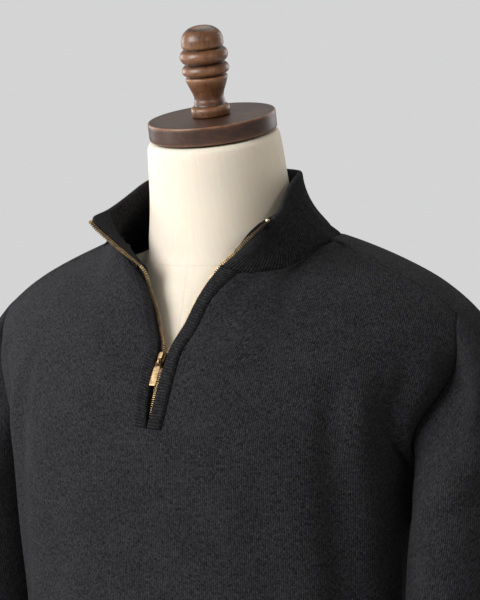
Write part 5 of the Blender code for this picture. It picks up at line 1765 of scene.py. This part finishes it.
# the cover is drawn smooth, so its sections are evened out along the height
for _ in range(3):
    rings[1:-5] = rings[1:-5] * 0.5 + (rings[:-6] + rings[2:-4]) * 0.25
top = [rings[-1].mean(0) + (rings[-1] - rings[-1].mean(0)) * s for s in (0.9, 0.5, 0.02)]
bottom = [rings[0].mean(0) + (rings[0] - rings[0].mean(0)) * s for s in (0.02, 0.3, 0.6, 0.85, 0.96)]
allrings = np.concatenate([np.array(bottom), rings, np.array(top)])
verts = allrings.reshape(-1, 3)
closed = np.concatenate([allrings, allrings[:, :1]], 1)
fu, fv = runs(closed)
near_neck = allrings[:, :, 2].mean(1) > 0.884
fu = np.where(near_neck[:, None], np.linspace(0, 2 * math.pi * 0.066, steps + 1)[None], fu)
faces, places = [], []
for i in range(len(allrings) - 1):
    for j in range(steps):
        k = (j + 1) % steps
        faces.append((i * steps + j, i * steps + k, (i + 1) * steps + k, (i + 1) * steps + j))
        places.append([(fu[i, j], fv[i, j]), (fu[i, j + 1], fv[i, j + 1]), (fu[i + 1, j + 1], fv[i + 1, j + 1]), (fu[i + 1, j], fv[i + 1, j])])
faces.append(tuple(range(steps))[::-1])
faces.append(tuple((len(allrings) - 1) * steps + j for j in range(steps)))
flat_places = [q for f in places for q in f] + [(0.0, 0.0)] * (2 * steps)
a, b, c = (Vector(verts[i]) for i in faces[steps * 30][:3])
if (b - a).cross(c - a).dot(a - Vector((0, 0, a.z))) < 0:
    faces = [f[::-1] for f in faces]
    flat_places = [q for f in places for q in f[::-1]] + [(0.0, 0.0)] * (2 * steps)
form = solid("form_torso_linen", verts, faces, LINEN, flat_places, angle=60)
piece(form, "form_torso")


def lathe(name, profile, steps, mat, node, tilt=0.0, at=(0, 0, 0), ease=1):
    """A turned solid. Profile rows are radius, height and how rubbed the edge
    is; ease puts points between them on a smooth line."""
    prof = np.array(profile, float)
    if ease > 1:
        run = np.concatenate([[0], np.cumsum(np.linalg.norm(np.diff(prof[:, :2], axis=0), axis=1))])
        t = np.concatenate([np.linspace(run[i], run[i + 1], ease + 1)[:-1] for i in range(len(run) - 1)] + [run[-1:]])
        prof = np.stack([smooth(run, prof[:, 0], t), smooth(run, prof[:, 1], t), np.interp(t, run, prof[:, 2])], 1)
    # the wood is drawn darker in the turned grooves
    run = np.concatenate([[0], np.cumsum(np.linalg.norm(np.diff(prof[:, :2], axis=0), axis=1))])
    around_it = np.array([prof[np.abs(run - t) < 0.0045, 0].mean() for t in run])
    hollow = np.clip((around_it - prof[:, 0]) / 0.0008 - 0.15, 0, 1)
    inner = prof[(prof[:, 0] > 1e-6)]
    hollow = hollow[(prof[:, 0] > 1e-6)]
    a = np.arange(steps) * 2 * math.pi / steps
    verts = [(0, 0, prof[0, 1])]
    rub = [prof[0, 2]]
    for r, z, w in inner:
        verts += [(r * math.cos(x), r * math.sin(x), z) for x in a]
        rub += [w] * steps
    verts.append((0, 0, prof[-1, 1]))
    rub.append(prof[-1, 2])
    faces = [(0, 1 + (j + 1) % steps, 1 + j) for j in range(steps)]
    for i in range(len(inner) - 1):
        p, q = 1 + i * steps, 1 + (i + 1) * steps
        faces += [(p + j, p + (j + 1) % steps, q + (j + 1) % steps, q + j) for j in range(steps)]
    p = 1 + (len(inner) - 1) * steps
    faces += [(p + j, p + (j + 1) % steps, len(verts) - 1) for j in range(steps)]
    move = Matrix.Translation(at) @ Matrix.Rotation(tilt, 4, "X")
    verts = [move @ Vector(v) for v in verts]
    groove = [0.0] + list(np.repeat(hollow, steps)) + [0.0]
    o = solid(name, verts, faces, mat, extra={"rub": rub, "groove": groove}, angle=32)
    return piece(o, node)


tilt = math.radians(CAP_TILT)
up = Vector((0, -math.sin(tilt), math.cos(tilt)))
R = 0.0608
cap = [(0, -0.0175, 0), (0.030, -0.0175, 0), (0.0575, -0.0175, 0.1), (0.0594, -0.0172, 0.5), (0.0604, -0.0163, 0.6), (0.0608, -0.0150, 0.15),
       (R, -0.0120, 0), (R, -0.0080, 0), (R, -0.0040, 0), (R, -0.0018, 0.25), (0.0606, -0.0008, 0.85), (0.0601, -0.0002, 1.0), (0.0593, 0.0, 0.7),
       (0.0580, 0.0, 0.15), (0.0500, 0.0, 0), (0.035, 0.0, 0), (0.020, 0.0, 0), (0.010, 0.0, 0), (0, 0.0, 0)]
lathe("neck_cap_wood", cap, 144, WALNUT, "neck_cap", tilt, CAP_CENTRE)
finial = [(0, 0, 0), (0.0165, 0.0, 0.0), (0.0178, 0.0006, 0.3), (0.0185, 0.0025, 0.1), (0.0187, 0.0050, 0.0), (0.0183, 0.0078, 0.5), (0.0165, 0.0096, 0.3),
          (0.0150, 0.0108, 0.0), (0.0145, 0.0145, 0.0), (0.0139, 0.0168, 0.0), (0.0150, 0.0220, 0.1), (0.0168, 0.0265, 0.1), (0.0183, 0.0305, 0.1),
          (0.0197, 0.0345, 0.4), (0.0199, 0.0362, 0.7), (0.0188, 0.0378, 0.2), (0.0180, 0.0387, 0.0), (0.0196, 0.0395, 0.1), (0.0214, 0.0408, 0.3),
          (0.0224, 0.0437, 0.4), (0.0215, 0.0468, 0.2), (0.0198, 0.0486, 0.0), (0.0182, 0.0500, 0.0), (0.0199, 0.0512, 0.0), (0.0217, 0.0533, 0.2),
          (0.0229, 0.0572, 0.4), (0.0216, 0.0610, 0.2), (0.0198, 0.0628, 0.0), (0.0182, 0.0640, 0.0), (0.0191, 0.0652, 0.3), (0.0199, 0.0672, 0.3),
          (0.0199, 0.0715, 0.1), (0.0181, 0.0770, 0.1), (0.0137, 0.0817, 0.1), (0.0072, 0.0845, 0.1), (0, 0.0853, 0.1)]
lathe("finial_wood", finial, 96, TURNED, "finial", tilt, Vector(CAP_CENTRE) + up * CLEAR, ease=3)
pole_top = 0.200 - CLEAR
pole = [(0, BASE_HEIGHT + CLEAR, 0), (POLE_RADIUS * 0.97, BASE_HEIGHT + CLEAR, 0.2), (POLE_RADIUS, BASE_HEIGHT + CLEAR + 0.001, 0.3)] + [
    (POLE_RADIUS, z, 0) for z in np.linspace(BASE_HEIGHT + 0.006, pole_top - 0.006, 12)] + [
    (POLE_RADIUS, pole_top - 0.001, 0.2), (POLE_RADIUS * 0.96, pole_top, 0.2), (0, pole_top, 0)]
lathe("stand_pole_wood", pole, 64, WALNUT, "stand_pole")
base = [(0, 0, 0), (0.100, 0, 0), (0.1755, 0.0, 0.2), (0.1772, 0.0006, 0.4), (0.178, 0.0020, 0.2), (0.178, 0.0060, 0), (0.178, 0.0130, 0),
        (0.178, 0.0165, 0.3), (0.1770, 0.0190, 0.6), (0.1750, 0.0212, 0.4), (0.1715, 0.0230, 0.1), (0.1665, 0.0243, 0.0), (0.1560, 0.0254, 0.0),
        (0.120, 0.0258, 0), (0.060, 0.0260, 0), (0.030, 0.0260, 0), (0, 0.0260, 0)]
lathe("stand_base_wood", base, 160, WALNUT, "stand_base")

# ------------------------------------------------- what each cloth was cut to
bpy.context.view_layer.update()


def one_side(o):
    me = o.data
    me.calc_loop_triangles()
    return sum(t.area for t in me.loop_triangles) / 2


# piece, flat size, how it is held, and the flat area of its cut
CUTS = [
    ("sweater_front_knit", (0.54, 0.64), "draped", 0.318),
    ("sweater_back_knit", (0.52, 0.66), "draped", 0.302),
    ("sleeve_left_knit", (0.40, 0.70), "draped", 0.158),
    ("sleeve_right_knit", (0.40, 0.70), "draped", 0.158),
    ("hem_rib_front_knit", (0.50, 0.066), "stretched", None),
    ("hem_rib_back_knit", (0.48, 0.066), "stretched", None),
    ("cuff_left_knit", (0.24, 0.067), "stretched", None),
    ("cuff_right_knit", (0.24, 0.067), "stretched", None),
    ("collar_knit", (0.52, 0.066), "draped", None),
    ("placket_left_knit", (0.015, 0.170), "laid", None),
    ("placket_right_knit", (0.015, 0.170), "laid", None),
    ("zip_tape_left_woven", (0.011, 0.225), "laid", None),
    ("zip_tape_right_woven", (0.011, 0.225), "laid", None),
    ("facing_left_knit", (0.030, 0.102), "laid", 0.0029),
    ("facing_right_knit", (0.030, 0.102), "laid", 0.0029),
]
for name, flat, held, area in CUTS:
    print("CUT", name, "one side %.5f" % one_side(pieces[name]), "flat %.5f" % (area or flat[0] * flat[1]))

# ---------------------------------------------------------- stage and light --
f = Finish("grey_floor")
f.colour((0.66, 0.66, 0.662, 1.0))
f.rough(0.9)
f.set(Specular_IOR_Level=0.05, Emission_Color=(0.998, 0.999, 1.0, 1.0))
# the floor runs out into the backdrop without a line
x, y = f.split(f.place())[:2]
far_out = f.soft(f.math("SQRT", f.add(f.mul(x, x), f.mul(y, y))), 0.45, 1.7)
f.colour(f.mix(far_out, (0.60, 0.60, 0.602), (0.0, 0.0, 0.0)))
f.put(f.mul(far_out, 0.659), f.skin.inputs["Emission Strength"])
steps = 128
verts = [(0, 0, -0.0002)] + [(2.2 * math.cos(2 * math.pi * k / steps), 2.2 * math.sin(2 * math.pi * k / steps), -0.0002) for k in range(steps)]
floor = solid("floor", verts, [(0, 1 + k, 1 + (k + 1) % steps) for k in range(steps)], f.mat, smooth=False)

world = bpy.data.worlds.new("studio")
bpy.context.scene.world = world
world.use_nodes = True
tree = world.node_tree
tree.nodes.clear()
back_drop = tree.nodes.new("ShaderNodeBackground")
back_drop.inputs[0].default_value = (0.658, 0.659, 0.661, 1)
ambient = tree.nodes.new("ShaderNodeBackground")
ambient.inputs[0].default_value = (1.0, 0.95, 0.90, 1)
ambient.inputs[1].default_value = 0.32
path = tree.nodes.new("ShaderNodeLightPath")
mixer = tree.nodes.new("ShaderNodeMixShader")
output = tree.nodes.new("ShaderNodeOutputWorld")
tree.links.new(path.outputs["Is Camera Ray"], mixer.inputs[0])
tree.links.new(ambient.outputs[0], mixer.inputs[1])
tree.links.new(back_drop.outputs[0], mixer.inputs[2])
tree.links.new(mixer.outputs[0], output.inputs[0])


def lamp(name, at, to, size, power, colour=(1, 1, 1)):
    data = bpy.data.lights.new(name, "AREA")
    data.shape, data.size, data.energy, data.color = "DISK", size, power, colour
    o = bpy.data.objects.new(name, data)
    o.location = at
    o.rotation_euler = (Vector(to) - Vector(at)).to_track_quat("-Z", "Y").to_euler()
    bpy.context.scene.collection.objects.link(o)


lamp("key", (-1.18, -1.92, 1.72), (0, 0, 0.78), 1.6, 59.0, (1.0, 0.99, 0.975))
lamp("top", (-0.2, 0.5, 2.4), (0, 0, 0.8), 1.2, 5.0)
lamp("side", (-2.1, 0.45, 1.35), (0, 0, 0.75), 1.2, 13.0)
lamp("low", (-1.9, -1.1, 0.55), (-0.22, 0, 0.70), 0.9, 6.0)
lamp("rear", (0.7, 2.2, 1.6), (0, 0, 0.75), 1.5, 11.0)
# a narrow lamp for the neck and the collar's rim
data = bpy.data.lights.new("neck", "SPOT")
data.energy, data.spot_size, data.spot_blend, data.shadow_soft_size = 42.0, math.radians(9.0), 1.0, 0.18
data.color = (1.0, 0.93, 0.86)
spot = bpy.data.objects.new("neck", data)
spot.location = (1.45, -1.25, 1.45)
spot.rotation_euler = (Vector((0.01, -0.03, 0.955)) - Vector(spot.location)).to_track_quat("-Z", "Y").to_euler()
bpy.context.scene.collection.objects.link(spot)

# ------------------------------------------------------------------ camera --
turn, rise, far, per_metre = math.radians(26.9), math.radians(2.2), 1.80, 1040.0
right = Vector((math.cos(turn), math.sin(turn), 0))
behind = Vector((math.sin(turn) * math.cos(rise), -math.cos(turn) * math.cos(rise), math.sin(rise)))
above = behind.cross(right)
target = right * 0.013 + Vector((0, 0, 0.8454))
data = bpy.data.cameras.new("camera")
data.sensor_fit, data.sensor_height = "VERTICAL", 36.0
data.lens = per_metre * far * 36.0 / 600.0
data.clip_start, data.clip_end = 0.05, 20.0
camera = bpy.data.objects.new("camera", data)
camera.matrix_world = Matrix.Translation(target + behind * far) @ Matrix((right, above, behind)).transposed().to_4x4()
bpy.context.scene.collection.objects.link(camera)
bpy.context.scene.camera = camera
bpy.context.scene.view_settings.view_transform = "Standard"

bpy.context.view_layer.update()
low, high = [1e9] * 3, [-1e9] * 3
for o in pieces.values():
    for c in o.bound_box:
        w = o.matrix_world @ Vector(c)
        low = [min(a, b) for a, b in zip(low, w)]
        high = [max(a, b) for a, b in zip(high, w)]
